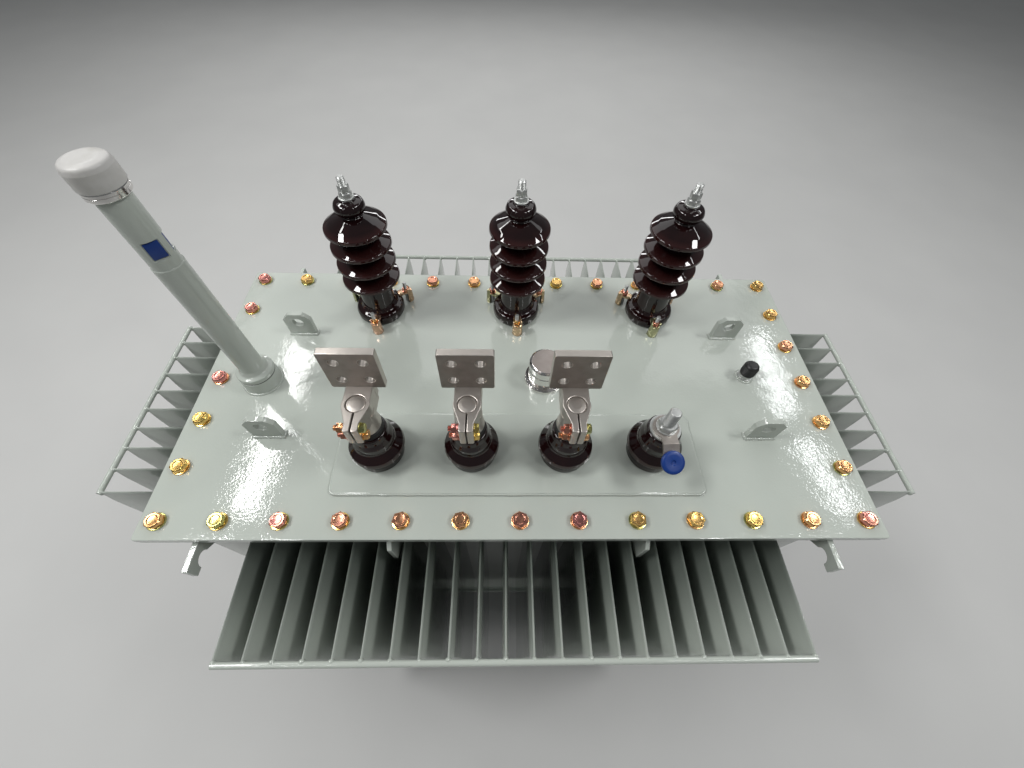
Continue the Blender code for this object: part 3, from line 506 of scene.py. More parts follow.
def grow(recipe, values, start=None):
    """Runs a recipe on a starting mesh, and returns the plain mesh that it makes."""

    def prepare(carrier):
        step = carrier.modifiers.new("recipe", "NODES")
        step.node_group = recipe.tree
        for label, value in values.items():
            step[recipe.keys[label]] = value

    return applied(start or bpy.data.meshes.new("start"), prepare)


# %% [markdown]
# ## The folded walls
# Each wall is one long sheet folded into flat pockets, so that warm oil inside them meets cool air
# outside. A press shuts each pocket at its top and bottom, so a fin swells from a thin seam to its full
# thickness. The rule is written for one fin: a square grid is wrapped round the pocket, one axis running
# round the nose and back, the other up the fin. Rows are crowded at the ends, where it closes.

# %% One fin's rule
WALL = Recipe("folded_wall", ["Length", "Height", "Sheet", "Pitch", "Depth", "Thickness", "Fin Height",
                              "Fin Foot", "Shoulder", "Rod", "Overhang", "Weld", "Lean"], ["Fins", "Seed"])
ROUND_STEPS = 17
HEIGHT_STEPS = 21
SEAM_ROUND = 0.0012
ROOT_SHARE = 0.75
END_CROWDING = 2.4


def one_fin(g):
    grid = g.geo("MeshGrid", {0: 2.0, 1: 2.0, 2: ROUND_STEPS, 3: HEIGHT_STEPS})
    along, up, _ = g.split()
    middle_height = g.given("Fin Height") / 2
    to_end = (1 - abs(up)) ** END_CROWDING * middle_height
    swell = to_end.between(0.0, g.given("Shoulder"))
    sheet = g.given("Sheet")
    half = (sheet + (g.given("Thickness") / 2 - sheet) * swell) * (to_end / SEAM_ROUND).most(1.0)
    from_nose = abs(along) * 2
    angle = from_nose.most(1.0) * (math.pi / 2)
    cheek = (from_nose - 1).least(0.0)
    reach = (1 - cheek / ROOT_SHARE).least(0.0)
    depth = (g.given("Depth") - half) * reach + half * angle.maths("COSINE", angle)
    open_here = from_nose.maths("LESS_THAN", from_nose, 1.99)
    width = along.maths("SIGN", along) * half * angle.maths("SINE", angle) * open_here
    rise = middle_height + up.maths("SIGN", up) * (middle_height - to_end) + g.given("Fin Foot")
    # The value for the painted shade between the fins: 0 at a fin's nose, 1 at its root.
    wrapped = g.moved(g.marked(grid, "deep", 1 - reach), Position=g.point(width, sheet / 3 - depth, rise))
    return g.geo("MergeByDistance", {"Geometry": wrapped, "Distance": 0.00001})


# %% [markdown]
# One fin becomes a wall: it is set out along a line, and each copy leans by a hair. Round bars tie the
# fins' outer corners, with a blob of weld where a bar crosses a fin.


# %% The rule for a whole wall
BAR_SEAT = 0.72
BLOB_SEAT = 0.7


def fin_line(g, y, z):
    first = (1 - g.given("Fins")) * g.given("Pitch") / 2
    return g.geo("MeshLine", {"Count": g.given("Fins"), "Start Location": g.point(first, y, z),
                              "Offset": g.point(g.given("Pitch"))})


def tie_bar(g, y, z):
    reach = (g.given("Fins") - 1) * g.given("Pitch") / 2 + g.given("Overhang")
    line = g.geo("CurvePrimitiveLine", {"Start": g.point(-reach, y, z), "End": g.point(reach, y, z)})
    ring = g.geo("CurvePrimitiveCircle", {"Resolution": 12, "Radius": g.given("Rod")})
    bar = g.geo("CurveToMesh", {"Curve": line, "Profile Curve": ring, "Fill Caps": True})
    blob = g.geo("MeshIcoSphere", {"Radius": g.given("Weld"), "Subdivisions": 2})
    size = g.chance(0.75, 1.15, g.given("Seed"))
    spots = fin_line(g, y + g.given("Rod") * BLOB_SEAT, z)
    return g.together(bar, g.copies(spots, blob, Scale=g.point(size * 0.8, size * 0.7, size)))


def whole_wall(g):
    lean = g.given("Lean")
    seed = g.given("Seed")
    turn = g.point(0.0, g.chance(-lean, lean, seed), g.chance(-lean, lean, seed + 7))
    fins = g.copies(fin_line(g, 0.0, 0.0), one_fin(g), Rotation=g.turned(turn))
    size = g.point(g.given("Length"), g.given("Sheet"), g.given("Height"))
    plate = g.geo("MeshCube", {"Size": size})
    sheet = g.moved(plate, Offset=g.point(0.0, g.given("Sheet") / 2, g.given("Height") / 2))
    out = -(g.given("Depth") + g.given("Rod") * BAR_SEAT)
    low = g.given("Fin Foot") + g.given("Rod")
    high = g.given("Fin Foot") + g.given("Fin Height") - g.given("Rod")
    g.serve(g.together(sheet, fins, tie_bar(g, out, low), tie_bar(g, out, high)))


whole_wall(WALL)

# %% [markdown]
# The four walls take their places from the frame. Each wall's rule is run lying along X, facing the
# viewer, and then turned to its side.

# %% Four walls
SHEET = 0.0015
FIN_PITCH = 0.046
FIN_DEPTH = 0.222
FIN_HEIGHT = 0.685
FIN_FOOT = 0.177
ROD = 0.0053
SIDES = {"front": (0, 22), "right": (90, 10), "back": (180, 22), "left": (270, 10)}

for number, (side, (degrees, fins)) in enumerate(SIDES.items()):
    low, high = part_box("tank_wall_" + side)
    long_side = side in ("front", "back")
    sizes = {
        "Length": (high.x - low.x) if long_side else (high.y - low.y), "Height": high.z - low.z,
        "Sheet": SHEET, "Fins": fins, "Pitch": FIN_PITCH, "Depth": FIN_DEPTH, "Thickness": 0.010,
        "Fin Height": FIN_HEIGHT, "Fin Foot": FIN_FOOT, "Shoulder": 0.038, "Rod": ROD,
        "Overhang": 0.002, "Weld": 0.0062, "Lean": 0.0012, "Seed": 11 + number,
        "Finish": FINISHES["tank_paint"],
    }
    mesh = grow(WALL, sizes)
    inner = {"front": -high.y, "back": low.y, "right": low.x, "left": -high.x}[side]
    place = Matrix.Rotation(math.radians(degrees), 4, "Z") @ Matrix.Translation((0, -inner - SHEET, low.z))
    mesh.transform(place)
    add_piece("wall_folded_" + side, mesh, "tank_paint", ("tank_wall_" + side,), sharp=math.radians(50))
    print("wall", side, "fins:", fins, "faces:", len(mesh.polygons))

# %% [markdown]
# ## Plates from an outline
# Gussets and palms are cut from plate. A filled curve makes the flat shape with its holes, an extrusion
# gives the thickness, and the Bevel modifier rounds every edge, the holes' rims too.


# %% Plates, and the gussets under the long flanges
def arc(centre, radius, start, end, steps):
    """Points on an arc, from one angle to the other, in degrees."""
    angles = [math.radians(start + (end - start) * i / steps) for i in range(steps + 1)]
    return [(centre[0] + radius * math.cos(a), centre[1] + radius * math.sin(a)) for a in angles]


def round_cornered(low, high, inset, radius, steps):
    """The outline of a rectangle whose corners turn round centres that lie inset from its sides."""
    outline = []
    for x, y, start in ((high[0] - inset, high[1] - inset, 0), (low[0] + inset, high[1] - inset, 90),
                        (low[0] + inset, low[1] + inset, 180), (high[0] - inset, low[1] + inset, 270)):
        outline += arc((x, y), radius, start, start + 90, steps)
    return outline


def plate(outlines, thickness, rounding):
    curve = bpy.data.curves.new("plate", "CURVE")
    curve.dimensions = "2D"
    curve.fill_mode = "BOTH"
    curve.extrude = thickness / 2
    for outline in outlines:
        line = curve.splines.new("POLY")
        line.points.add(len(outline) - 1)
        for point, (x, y) in zip(line.points, outline):
            point.co = (x, y, 0, 1)
        line.use_cyclic_u = True
    return rounded(merged(applied(curve, lambda carrier: None), 0.00001), rounding)


UPRIGHT = Matrix.Rotation(math.radians(90), 4, "X")
GUSSET_DROP = 0.120
GUSSET = [(0, 0), (0, -GUSSET_DROP), (0.066, -0.075), (0.066, -0.016), (0.050, 0)]
GUSSET_PLACE = 0.222

for side, way in (("front", -1), ("back", 1)):
    low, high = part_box("tank_wall_" + side)
    face = (low.y + SHEET) if way > 0 else (high.y - SHEET)
    plates = []
    for x in (-GUSSET_PLACE, GUSSET_PLACE):
        made = plate([GUSSET], 0.008, 0.0010)
        turn = Matrix.Rotation(way * math.pi / 2, 4, "Z") @ UPRIGHT
        made.transform(Matrix.Translation((x, face, high.z)) @ turn)
        plates.append(made)
    add_piece("gussets_" + side, joined(plates), "tank_paint", sharp=PLATE_SHARP)
print("gussets: 4")

# %% [markdown]
# ## Turned pieces
# Insulators, caps, nuts and studs are turned. An outline is written as corners, each with the radius of
# its rounding, and revolved. A hexagon is only a circle clipped by six flats, so a nut's curved chamfer
# comes by itself. Tables are in millimetres.


# %% Outline with rounded corners, and the lathe
def mm(*corners):
    return [tuple(value / 1000 for value in corner) for corner in corners]


def soften(corners, steps=5):
    """Replaces each (radius, height, rounding) corner by an arc that touches both of its sides."""
    outline = []
    for i, corner in enumerate(corners):
        here = Vector(corner[:2])
        if i in (0, len(corners) - 1) or len(corner) < 3:
            outline.append(here)
            continue
        back = Vector(corners[i - 1][:2]) - here
        ahead = Vector(corners[i + 1][:2]) - here
        half = back.angle(ahead) / 2
        reach = min(corner[2] / math.tan(half), back.length * 0.48, ahead.length * 0.48)
        radius = reach * math.tan(half)
        axis = (back.normalized() + ahead.normalized()).normalized()
        centre = here + axis * (radius / math.sin(half))
        start = here + back.normalized() * reach - centre
        sweep = start.angle_signed(here + ahead.normalized() * reach - centre)
        for step in range(steps + 1):
            outline.append(centre + Matrix.Rotation(-sweep * step / steps, 2) @ start)
    return outline


def lathe(corners, place=(0, 0, 0), steps=48, rims=None, flats=0.0, rounds=5):
    """Revolves an outline that runs from the top of the axis down to its foot."""
    shape = bmesh.new()
    layer = shape.verts.layers.float.new("rim")
    rings = []
    for point in soften(corners, rounds):
        ring = []
        for i in range(1 if point.x < 1e-6 else steps):
            angle = 2 * math.pi * i / steps
            across = (angle + math.pi / 6) % (math.pi / 3) - math.pi / 6
            reach = min(point.x, flats / 2 / math.cos(across)) if flats else point.x
            vert = shape.verts.new((reach * math.cos(angle), reach * math.sin(angle), point.y))
            vert[layer] = rims(point) if rims else 0.0
            ring.append(vert)
        rings.append(ring)
    for upper, lower in zip(rings, rings[1:]):
        for i in range(steps):
            j = (i + 1) % steps
            around = [(upper, i), (lower, i), (lower, j), (upper, j)]
            face = list(dict.fromkeys(ring[k % len(ring)] for ring, k in around))
            if len(face) > 2:
                shape.faces.new(face)
    mesh = mesh_from(shape)
    mesh.transform(Matrix.Translation(place))
    return mesh


def turned_piece(name, node, corners, steps, slot, finish_name=None, rims=None):
    """A turned piece that takes the place of a solid and stands on its lowest level."""
    x, y, foot, _ = middle(node)
    add_piece(name, lathe(corners, (x, y, foot), steps, rims), slot, (node,), finish_name)


def threaded(radius, foot, top, pitch, depth):
    """Corners of a threaded rod from its chamfered top down to its foot."""
    turns = int((top - foot) / pitch)
    corners = [(0, top), (radius - depth * 1.6, top)]
    for i in range(turns):
        level = top - depth - i * pitch
        corners += [(radius, level - pitch * 0.3), (radius, level - pitch * 0.5),
                    (radius - depth, level - pitch * 0.9)]
    return corners + [(radius - depth, foot), (0, foot)]


HEX_CORNER = 0.5774


def hex_part(across, foot, height, dish=0.0, place=(0, 0, 0), rounds=2):
    """A nut or bolt head with its turned chamfer."""
    top = foot + height
    corner = across * HEX_CORNER
    corners = [(0, top - dish)]
    if dish:
        corners += [(across * 0.30, top - dish, 0.0010), (across * 0.36, top, 0.0008)]
    corners += [(across * 0.47, top), (corner, top - across * 0.065), (corner, foot), (0, foot)]
    return lathe(corners, place, 24, flats=across, rounds=rounds)


def washer(radius, foot, height, place=(0, 0, 0), steps=28, rounds=2):
    top = foot + height
    corners = [(0, top), (radius, top, height * 0.3), (radius, foot, height * 0.3), (0, foot)]
    return lathe(corners, place, steps, rounds=rounds)


# %% [markdown]
# ## High-voltage insulators
# Four sheds slope outwards to rounded drip rims. The topmost is a steeper cone, and a knob above it holds
# the terminal. The foot is a collar that the three claws grip.

# %% High-voltage porcelain
SHED_LEVELS = [101.5 + 40.3 * i for i in range(4)]
SHED_REACH = 59.0


def hv_corners():
    corners = [(0, 278), (14, 278, 1.5), (15.2, 275.5, 1), (25, 273.5, 7), (28.8, 264, 10), (26.5, 254.5, 8),
               (19, 249, 4)]
    for level in reversed(SHED_LEVELS):
        top = level == SHED_LEVELS[-1]
        corners += [(20, level + 24, 4), (45, level + 12.6, 30)] if top else [(30, level + 16.5, 4)]
        corners += [(SHED_REACH - 1, level + 4.2, 2.6), (SHED_REACH, level - 3, 2.4),
                    (SHED_REACH - 8.5, level - 4.6, 1.5), (33, level - 1.5, 4), (30, level - 8, 4)]
    foot = [(35, 80, 8), (35, 34, 4), (40, 26.2, 4), (49, 24, 4), (52, 16, 6), (52, 6, 4), (49, 0), (0, 0)]
    return mm(*corners, *foot)


def hv_rim(point):
    near = min(abs(point.y * 1000 - level) for level in SHED_LEVELS)
    return 1.0 if point.x * 1000 > SHED_REACH - 5 and near < 6 else 0.0


HV = [middle("hv_porcelain_" + number) for number in "123"]
for number in "123":
    turned_piece("hv_insulator_" + number, "hv_porcelain_" + number, hv_corners(), 72, "porcelain",
                 rims=hv_rim)
print("high-voltage insulators: 3, sheds each:", len(SHED_LEVELS))

# %% [markdown]
# ## High-voltage terminals
# A galvanised stud comes out of each knob, with a thick washer and a nut on its seal, and a smaller pair
# that waits for the cable.

# %% Studs with their washers and nuts
HV_STUD_TOP = 0.318

for number, (x, y, foot, _) in zip("123", HV):
    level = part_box("hv_terminal_" + number)[0].z
    place = (x, y, level)
    tip = HV_STUD_TOP - (level - foot)
    stud = threaded(0.0070, 0.0, tip - 0.001, 0.0020, 0.0007)
    stud[:2] = [(0, tip), (0.0048, tip, 0.002)]
    parts = [
        lathe(stud, place, 20),
        washer(0.0140, 0.0, 0.0035, place, 32, 5), hex_part(0.0205, 0.0035, 0.0088, 0.0, place, 5),
        washer(0.0098, 0.0128, 0.0014, place, 28, 5), hex_part(0.0178, 0.0144, 0.0110, 0.0, place, 5),
    ]
    add_piece("hv_stud_" + number, joined(parts), "tinned_metal", ("hv_terminal_" + number,), "galvanised")
print("high-voltage terminals: 3")

# %% [markdown]
# ## Low-voltage insulators
# These are squat: one broad shed over a foot, then a tapering neck. The fourth carries the neutral.

# %% Low-voltage porcelain
LV_CORNERS = mm(
    (0, 90), (28.5, 90, 3), (31, 78, 6), (35, 68, 6), (35.2, 52, 8), (47, 40, 6), (48.7, 31, 4), (45, 25, 3),
    (41.5, 20.5, 3), (43.2, 14, 4), (43.2, 4, 2), (41.5, 0), (0, 0))


def lv_rim(point):
    return 1.0 if point.x > 0.0470 else 0.0


LV_NODES = ["lv_porcelain_1", "lv_porcelain_2", "lv_porcelain_3", "neutral_porcelain"]
LV = [middle(node) for node in LV_NODES]
for node in LV_NODES:
    turned_piece(node + "_glazed", node, LV_CORNERS, 72, "porcelain", rims=lv_rim)
print("low-voltage insulators:", len(LV_NODES))

# %% [markdown]
# ## Palm clamps
# A bronze clamp is slit down its front and squeezed round the stud by two bolts through its jaws. Its palm
# stands up behind, with four holes for the busbars. A ridged black collar keeps rain off the seal.


# %% Faces that carry a value
def painted(mesh, name, rule):
    """Gives each face a value that a material can read."""
    layer = mesh.attributes.new(name, "FLOAT", "FACE")
    for face in mesh.polygons:
        layer.data[face.index].value = rule(face)
    return mesh


# %% Three palm clamps, their studs and collars
BARREL = 0.0216
CHEEK_REACH = 0.0330
JAW = 0.0110
JAW_REACH = 0.0470
JAW_HEIGHT = 0.0400
CLAMP_TOP = 0.0634
SLIT = 0.0011
BORE = 0.0154
NECK = 0.02075
PALM_FACE = 0.0300
PALM_THICK = 0.0120
PALM_SIZE = (0.0825, 0.0830)
PALM_HOLE = 0.0075
HOLE_REACH = 0.02085
HEEL = 0.02125
HEEL_HEIGHT = 0.030
PALM_EDGE = 0.0009


def clamp_outline():
    corner = math.hypot(JAW, CHEEK_REACH)
    jaw_turn = math.degrees(math.acos(BARREL / corner) + math.asin(JAW / corner))
    neck_turn = math.degrees(math.acos(NECK / BARREL))
    slit_turn = math.degrees(math.asin(SLIT / BORE))
    rear = PALM_FACE + PALM_THICK / 2
    return ([(SLIT, -JAW_REACH)] + arc((JAW - 0.003, 0.003 - JAW_REACH), 0.003, -90, 0, 4)
            + [(JAW, -CHEEK_REACH)] + arc((0, 0), BARREL, jaw_turn - 90, neck_turn, 12)
            + [(NECK, rear), (-NECK, rear)] + arc((0, 0), BARREL, 180 - neck_turn, 270 - jaw_turn, 12)
            + [(-JAW, -CHEEK_REACH)]
            + arc((0.003 - JAW, 0.003 - JAW_REACH), 0.003, 180, 270, 4) + [(-SLIT, -JAW_REACH)]
            + arc((0, 0), BORE, 270 - slit_turn, slit_turn - 90, 36))


def palm_mesh():
    wide, high = PALM_SIZE[0] / 2, PALM_SIZE[1] / 2
    outline = round_cornered((-wide, -high), (wide, high), 0.003, 0.003, 4)
    centres = [(sx * HOLE_REACH, sy * HOLE_REACH) for sx in (-1, 1) for sy in (-1, 1)]
    holes = [arc(centre, PALM_HOLE, 0, 345, 23) for centre in centres]
    mesh = plate([outline] + holes, PALM_THICK, PALM_EDGE)
    mesh.transform(UPRIGHT)
    mesh.transform(Matrix.Translation((0, PALM_FACE + PALM_THICK / 2, CLAMP_TOP - 0.002 + high)))
    return mesh


def clamp_mesh():
    body = plate([clamp_outline()], JAW_HEIGHT, PLATE_EDGE)
    body.transform(Matrix.Translation((0, 0, CLAMP_TOP - JAW_HEIGHT / 2)))
    skirt = lathe(mm((0, 40), (22.2, 40), (22.2, 22, 20), (25, 3, 3), (23.8, 0), (0, 0)), steps=56)
    heel = plate([[(-HEEL, 0), (HEEL, 0), (HEEL, HEEL_HEIGHT), (-HEEL, HEEL_HEIGHT)]], PALM_THICK, PALM_EDGE)
    heel.transform(Matrix.Translation((0, PALM_FACE + PALM_THICK / 2, CLAMP_TOP - HEEL_HEIGHT)) @ UPRIGHT)
    mesh = joined([body, skirt, heel, palm_mesh()])
    # The palm's broad faces, front and back, get the darker paint: partly etched surface, partly painted
    # shade.
    return painted(mesh, "darker_face", lambda face: float(abs(face.normal.y) > 0.99 and face.center.z > CLAMP_TOP))


COLLAR = mm(
    (0, 14), (23.8, 14), (26.2, 11.8, 1), (24.3, 9.4, 1), (26.2, 7, 1), (24.3, 4.6, 1), (26.2, 2, 1),
    (25, 0), (0, 0))
STUD = mm((0, 77.9), (8, 77.6, 6), (13.6, 76.8, 2), (15, 75.5, 1), (15, 0), (0, 0))

for number in "123":
    x, y, _, _ = LV[int(number) - 1]
    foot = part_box("lv_palm_clamp_" + number)[0].z
    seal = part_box("lv_stud_" + number)[0].z
    mesh = clamp_mesh()
    mesh.transform(Matrix.Translation((x, y, foot)))
    stud = lathe(STUD, (x, y, seal), 48)
    add_piece("palm_clamp_" + number, mesh, "tinned_metal", ("lv_palm_clamp_" + number,), sharp=PLATE_SHARP)
    add_piece("lv_stud_turned_" + number, stud, "tinned_metal", ("lv_stud_" + number,))
    add_piece("lv_collar_" + number, lathe(COLLAR, (x, y, seal), 48), "black_plastic")
print("palm clamps: 3")

# %% [markdown]
# ## Neutral terminal
# The neutral carries little current, so its terminal is small: a threaded spindle, a nut, and a bent lug
# with a blue disc clipped on its end, on the solid's largest flat face.

# %% Spindle, nut, lug and disc
x, y, _, _ = LV[3]
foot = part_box("neutral_spindle")[0].z
spindle = threaded(0.0100, 0.0040, 0.0552, 0.0024, 0.0008)
spindle = [(0, 0.0562), (0.0080, 0.0562, 0.001)] + spindle[2:-2] + [(0.0260, 0.0040), (0.0260, 0), (0, 0)]
spindle = lathe(spindle, (x, y, foot), 32)
add_piece("neutral_spindle_turned", spindle, "tinned_metal", ("neutral_spindle",), "galvanised")
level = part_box("neutral_nut")[0].z
nut = hex_part(0.0300, 0.0022, 0.0106, 0.0, (x, y, level), 5)
under = washer(0.0178, 0.0, 0.0022, (x, y, level), 32, 5)
add_piece("neutral_nut_turned", joined([nut, under]), "tinned_metal", ("neutral_nut",), "galvanised")
lug = painted(rounded(flat_faces("neutral_lug"), 0.0008), "darker_face", lambda face: 0.6)
add_piece("neutral_lug_edged", lug, "tinned_metal", ("neutral_lug",), sharp=PLATE_SHARP)

flat = flat_faces("neutral_cap")
seat = max(flat.polygons, key=lambda face: face.area)
tilt = (-seat.normal).to_track_quat("Z", "Y").to_matrix().to_4x4()
cap = mm((0, 4), (3.2, 4, 1), (4.2, 6, 1), (15, 6.6, 10), (19.5, 5.2, 2), (19.5, 0, 0.8), (0, 0))
cap = lathe(cap, steps=40)
cap.transform(Matrix.Translation(seat.center) @ tilt)
add_piece("neutral_disc", cap, "blue_plastic", ("neutral_cap",))
print("neutral disc seat:", [round(v, 4) for v in seat.center], "faces", [round(v, 3) for v in -seat.normal])

# %% [markdown]
# ## Oil gauge
# The standpipe is a welded boss, a gasket and a collar, then the pipe, which steps in by a millimetre
# below the windows. The Boolean modifier cuts two windows, and a blue indicator sits behind each.

# %% Standpipe, gasket, ring and cap
x, y, foot, _ = middle("gauge_pipe")
GAUGE_CORNERS = mm(
    (0, 407.7), (21.3, 407.7, 0.5), (21.3, 301.2, 1), (22.5, 299.5, 1), (22.5, 53, 6), (26.2, 44, 6),
    (33.6, 41.2, 2), (34.2, 38.8, 1), (34.2, 32.2), (33, 32.2), (33, 30.2), (35.2, 30.2, 1), (35.5, 0),
    (0, 0))
WINDOW_TURNS = (40, 130)
WINDOW_LEVEL = 0.332
WINDOW_SIZE = (0.022, 0.030)
WINDOW_FLOOR = 0.0173


def upright_slab(width, height, near, far):
    """A rounded slab that stands between two distances in front of an axis."""
    w, h = width / 2, height / 2
    made = plate([[(-w, -h), (w, -h), (w, h), (-w, h)]], far - near, PLATE_EDGE)
    made.transform(Matrix.Translation((0, -(near + far) / 2, 0)) @ UPRIGHT)
    return made


def with_windows(mesh, cutters):
    def prepare(carrier):
        for cutter in cutters:
            cut = carrier.modifiers.new("window", "BOOLEAN")
            cut.operation = "DIFFERENCE"
            cut.solver = "EXACT"
            cut.object = cutter

    made = applied(mesh, prepare)
    for cutter in cutters:
        bpy.data.objects.remove(cutter)
    return made


cutters, inserts = [], []
for degrees in WINDOW_TURNS:
    place = Matrix.Translation((x, y, foot + WINDOW_LEVEL)) @ Matrix.Rotation(math.radians(degrees), 4, "Z")
    hole = upright_slab(*WINDOW_SIZE, WINDOW_FLOOR, 0.030)
    hole.transform(place)
    cutters.append(placed("window_cutter", hole))
    width, height = WINDOW_SIZE[0] - 0.003, WINDOW_SIZE[1] - 0.004
    insert = upright_slab(width, height, WINDOW_FLOOR - 0.0004, WINDOW_FLOOR + 0.0015)
    insert.transform(place)
    inserts.append(insert)
pipe = with_windows(lathe(GAUGE_CORNERS, (x, y, foot), 64), cutters)
add_piece("gauge_standpipe", pipe, "tank_paint", ("gauge_pipe",))
add_piece("gauge_indicators", joined(inserts), "blue_plastic")
gasket = lathe(mm((0, 32.2), (34.1, 32.2), (34.1, 30.2), (0, 30.2)), (x, y, foot), 64)
add_piece("gauge_gasket", gasket, "black_plastic")

ring = mm(
    (0, 11.5), (26.2, 11.5, 0.6), (26.8, 10, 0.5), (26.8, 6.4), (26.2, 6), (26.8, 5.6), (26.8, 1, 0.5),
    (26, 0), (0, 0))
turned_piece("gauge_ring_turned", "gauge_ring", ring, 64, "bright_metal")
cap = mm((0, 32), (18, 31.8, 10), (26.2, 29, 6), (28.2, 22, 4), (28.2, 1, 1), (27.6, 0), (0, 0))
turned_piece("gauge_cap_moulded", "gauge_cap", cap, 64, "white_plastic")
print("gauge windows:", len(WINDOW_TURNS))

# %% [markdown]
# ## Relief valve and thermometer pocket
# The relief valve is one turned, polished block, darker, browner and rougher on its top face. The pocket is a
# short pipe for a thermometer, under a ribbed rubber cap.

# %% Valve, pocket and cap
x, y, foot, _ = middle("relief_valve")
valve = mm(
    (0, 59), (29, 59, 0.6), (30.2, 58.4), (33.5, 55, 0.8), (33.5, 40, 0.5), (32.5, 39), (32.5, 37.5),
    (33.5, 36.5, 0.5), (33.5, 12.5, 0.5), (31, 11.5), (31, 9), (39.5, 8, 1), (40.5, 6.6, 1), (40.5, 0),
    (0, 0))
mesh = lathe(valve, (x, y, foot), 80)
# The top face is marked to be darker, browner and rougher than the sides.
painted(mesh, "darker_face", lambda face: float(face.normal.z > 0.99 and face.center.z > foot + 0.058))
add_piece("relief_valve_turned", mesh, "bright_metal", ("relief_valve",))

pipe = mm((0, 14), (12.8, 14, 0.8), (12.8, 6), (15, 6, 1), (15, 0), (0, 0))
turned_piece("pocket_pipe", "thermometer_pocket", pipe, 36, "bright_metal", "galvanised")
cap = mm((0, 28), (10, 27.8, 4), (13.6, 24, 4))
for i in range(5):
    level = 20.5 - i * 4.2
    cap += mm((14.2, level + 1, 0.5), (15.5, level, 0.9), (14.2, level - 1.2, 0.5))
cap += mm((14.4, 0), (0, 0))
turned_piece("pocket_cap_ribbed", "pocket_cap", cap, 40, "black_plastic")

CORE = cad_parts["core_and_windings"]
CORE.data.materials.clear()
CORE.data.materials.append(FINISHES["core_steel"])
print("fittings: 2")

# %% [markdown]
# ## Scattered fasteners
# One recipe sets out all fasteners. It reads loose points, each with the way that the fastener's axis aims
# and its turn about that axis. Every copy gets a little spin and a tint of its own.

# %% The scatter recipe
SCATTER = Recipe("fasteners", ["Spin", "Tint Low", "Tint High"], ["Seed"], ["Shape"])


def set_out(g):
    aim = g.geo("InputNamedAttribute", {"Name": "aim"}, {"data_type": "FLOAT_VECTOR"})
    turn = g.geo("InputNamedAttribute", {"Name": "turn"}, {"data_type": "FLOAT"})
    aimed = g.node("FunctionNodeAlignRotationToVector", {"axis": "Z"}, {"Vector": aim})
    spin = turn + g.chance(-g.given("Spin"), g.given("Spin"), g.given("Seed"))
    turned = g.node("FunctionNodeRotateRotation", {"rotation_space": "LOCAL"},
                    {"Rotation": aimed, "Rotate By": g.turned(g.point(0.0, 0.0, spin))})
    shape = g.geo("ObjectInfo", {"Object": g.given("Shape")}, output="Geometry")
    tint = g.chance(g.given("Tint Low"), g.given("Tint High"), g.given("Seed") + 5)
    g.serve(g.marked(g.copies(g.given("Geometry"), shape, Rotation=turned), "tint", tint, "INSTANCE"))


set_out(SCATTER)


def scatter(name, mesh, spots, slot, tints=(0.5, 0.5), spin=0.0, seed=1, finish_name=None):
    """Sets out copies of a mesh at spots, each a (place, aim, turn)."""
    start = bpy.data.meshes.new("spots")
    start.from_pydata([spot[0] for spot in spots], [], [])
    start.attributes.new("aim", "FLOAT_VECTOR", "POINT")
    start.attributes.new("turn", "FLOAT", "POINT")
    start.attributes["aim"].data.foreach_set("vector", [value for spot in spots for value in spot[1]])
    start.attributes["turn"].data.foreach_set("value", [spot[2] for spot in spots])
    shape = placed("shape", mesh)
    values = {"Shape": shape, "Spin": spin, "Tint Low": tints[0], "Tint High": tints[1], "Seed": seed,
              "Finish": FINISHES[finish_name or slot]}
    made = grow(SCATTER, values, start)
    bpy.data.objects.remove(shape)
    add_piece(name, made, slot, finish_name=finish_name)
    print(name + ":", len(spots), "copies,", len(made.polygons), "faces")


# %% [markdown]
# ## Cover bolts
# Thirty-six bolts squeeze the cover on its gasket. On top each has a washer and a head with a dished
# middle, and below the flange a washer, a nut and the thread's end.

# %% Bolts round the cover
UP = (0.0, 0.0, 1.0)
DOWN = (0.0, 0.0, -1.0)
COVER_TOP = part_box("cover_plate")[1].z
FLANGE_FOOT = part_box("tank_flange_front")[0].z
BOLT_ACROSS = 0.0240
WASHER_HEIGHT = 0.0030
ROW_X = 0.6
ROW_Y = 0.286
LONG_PITCH = 0.1
SHORT_PITCH = 0.09533
SHORT_REACH = 0.19067
BOLT_ROWS = [(LONG_PITCH * i - ROW_X, side * ROW_Y) for i in range(13) for side in (-1, 1)]
BOLT_ROWS += [(side * ROW_X, SHORT_PITCH * i - SHORT_REACH) for i in range(5) for side in (-1, 1)]


def bolt_spots(level, aim):
    return [((x, y, level), aim, 0.0) for x, y in BOLT_ROWS]


ring = washer(0.0150, 0.0, WASHER_HEIGHT, steps=32)
head = hex_part(BOLT_ACROSS, 0.0, 0.0100, 0.0012)
head_spots = bolt_spots(COVER_TOP + WASHER_HEIGHT, UP)
scatter("cover_bolt_heads", head, head_spots, "zinc_yellow", (0.0, 0.85), math.pi, 4)
scatter("cover_bolt_washers", ring, bolt_spots(COVER_TOP, UP), "zinc_yellow", (0.35, 1.0), math.pi, 9)
thread_end = mm((0, 21.5), (6.8, 21.5), (8, 20.3), (8, 16), (0, 16))
below = joined([ring, hex_part(BOLT_ACROSS, WASHER_HEIGHT, 0.0130), lathe(thread_end, steps=20)])
scatter("flange_nuts", below, bolt_spots(FLANGE_FOOT, DOWN), "zinc_yellow", (0.2, 0.9), math.pi, 15)

# %% [markdown]
# ## Claws on the high-voltage feet
# A claw is a curved steel leg, like half a pipe, that stands on the cover and opens towards the porcelain.
# A web across it presses on the foot's shoulder, and a nut on a welded stud pulls the web down. The leg's
# top edge dips between two ears.


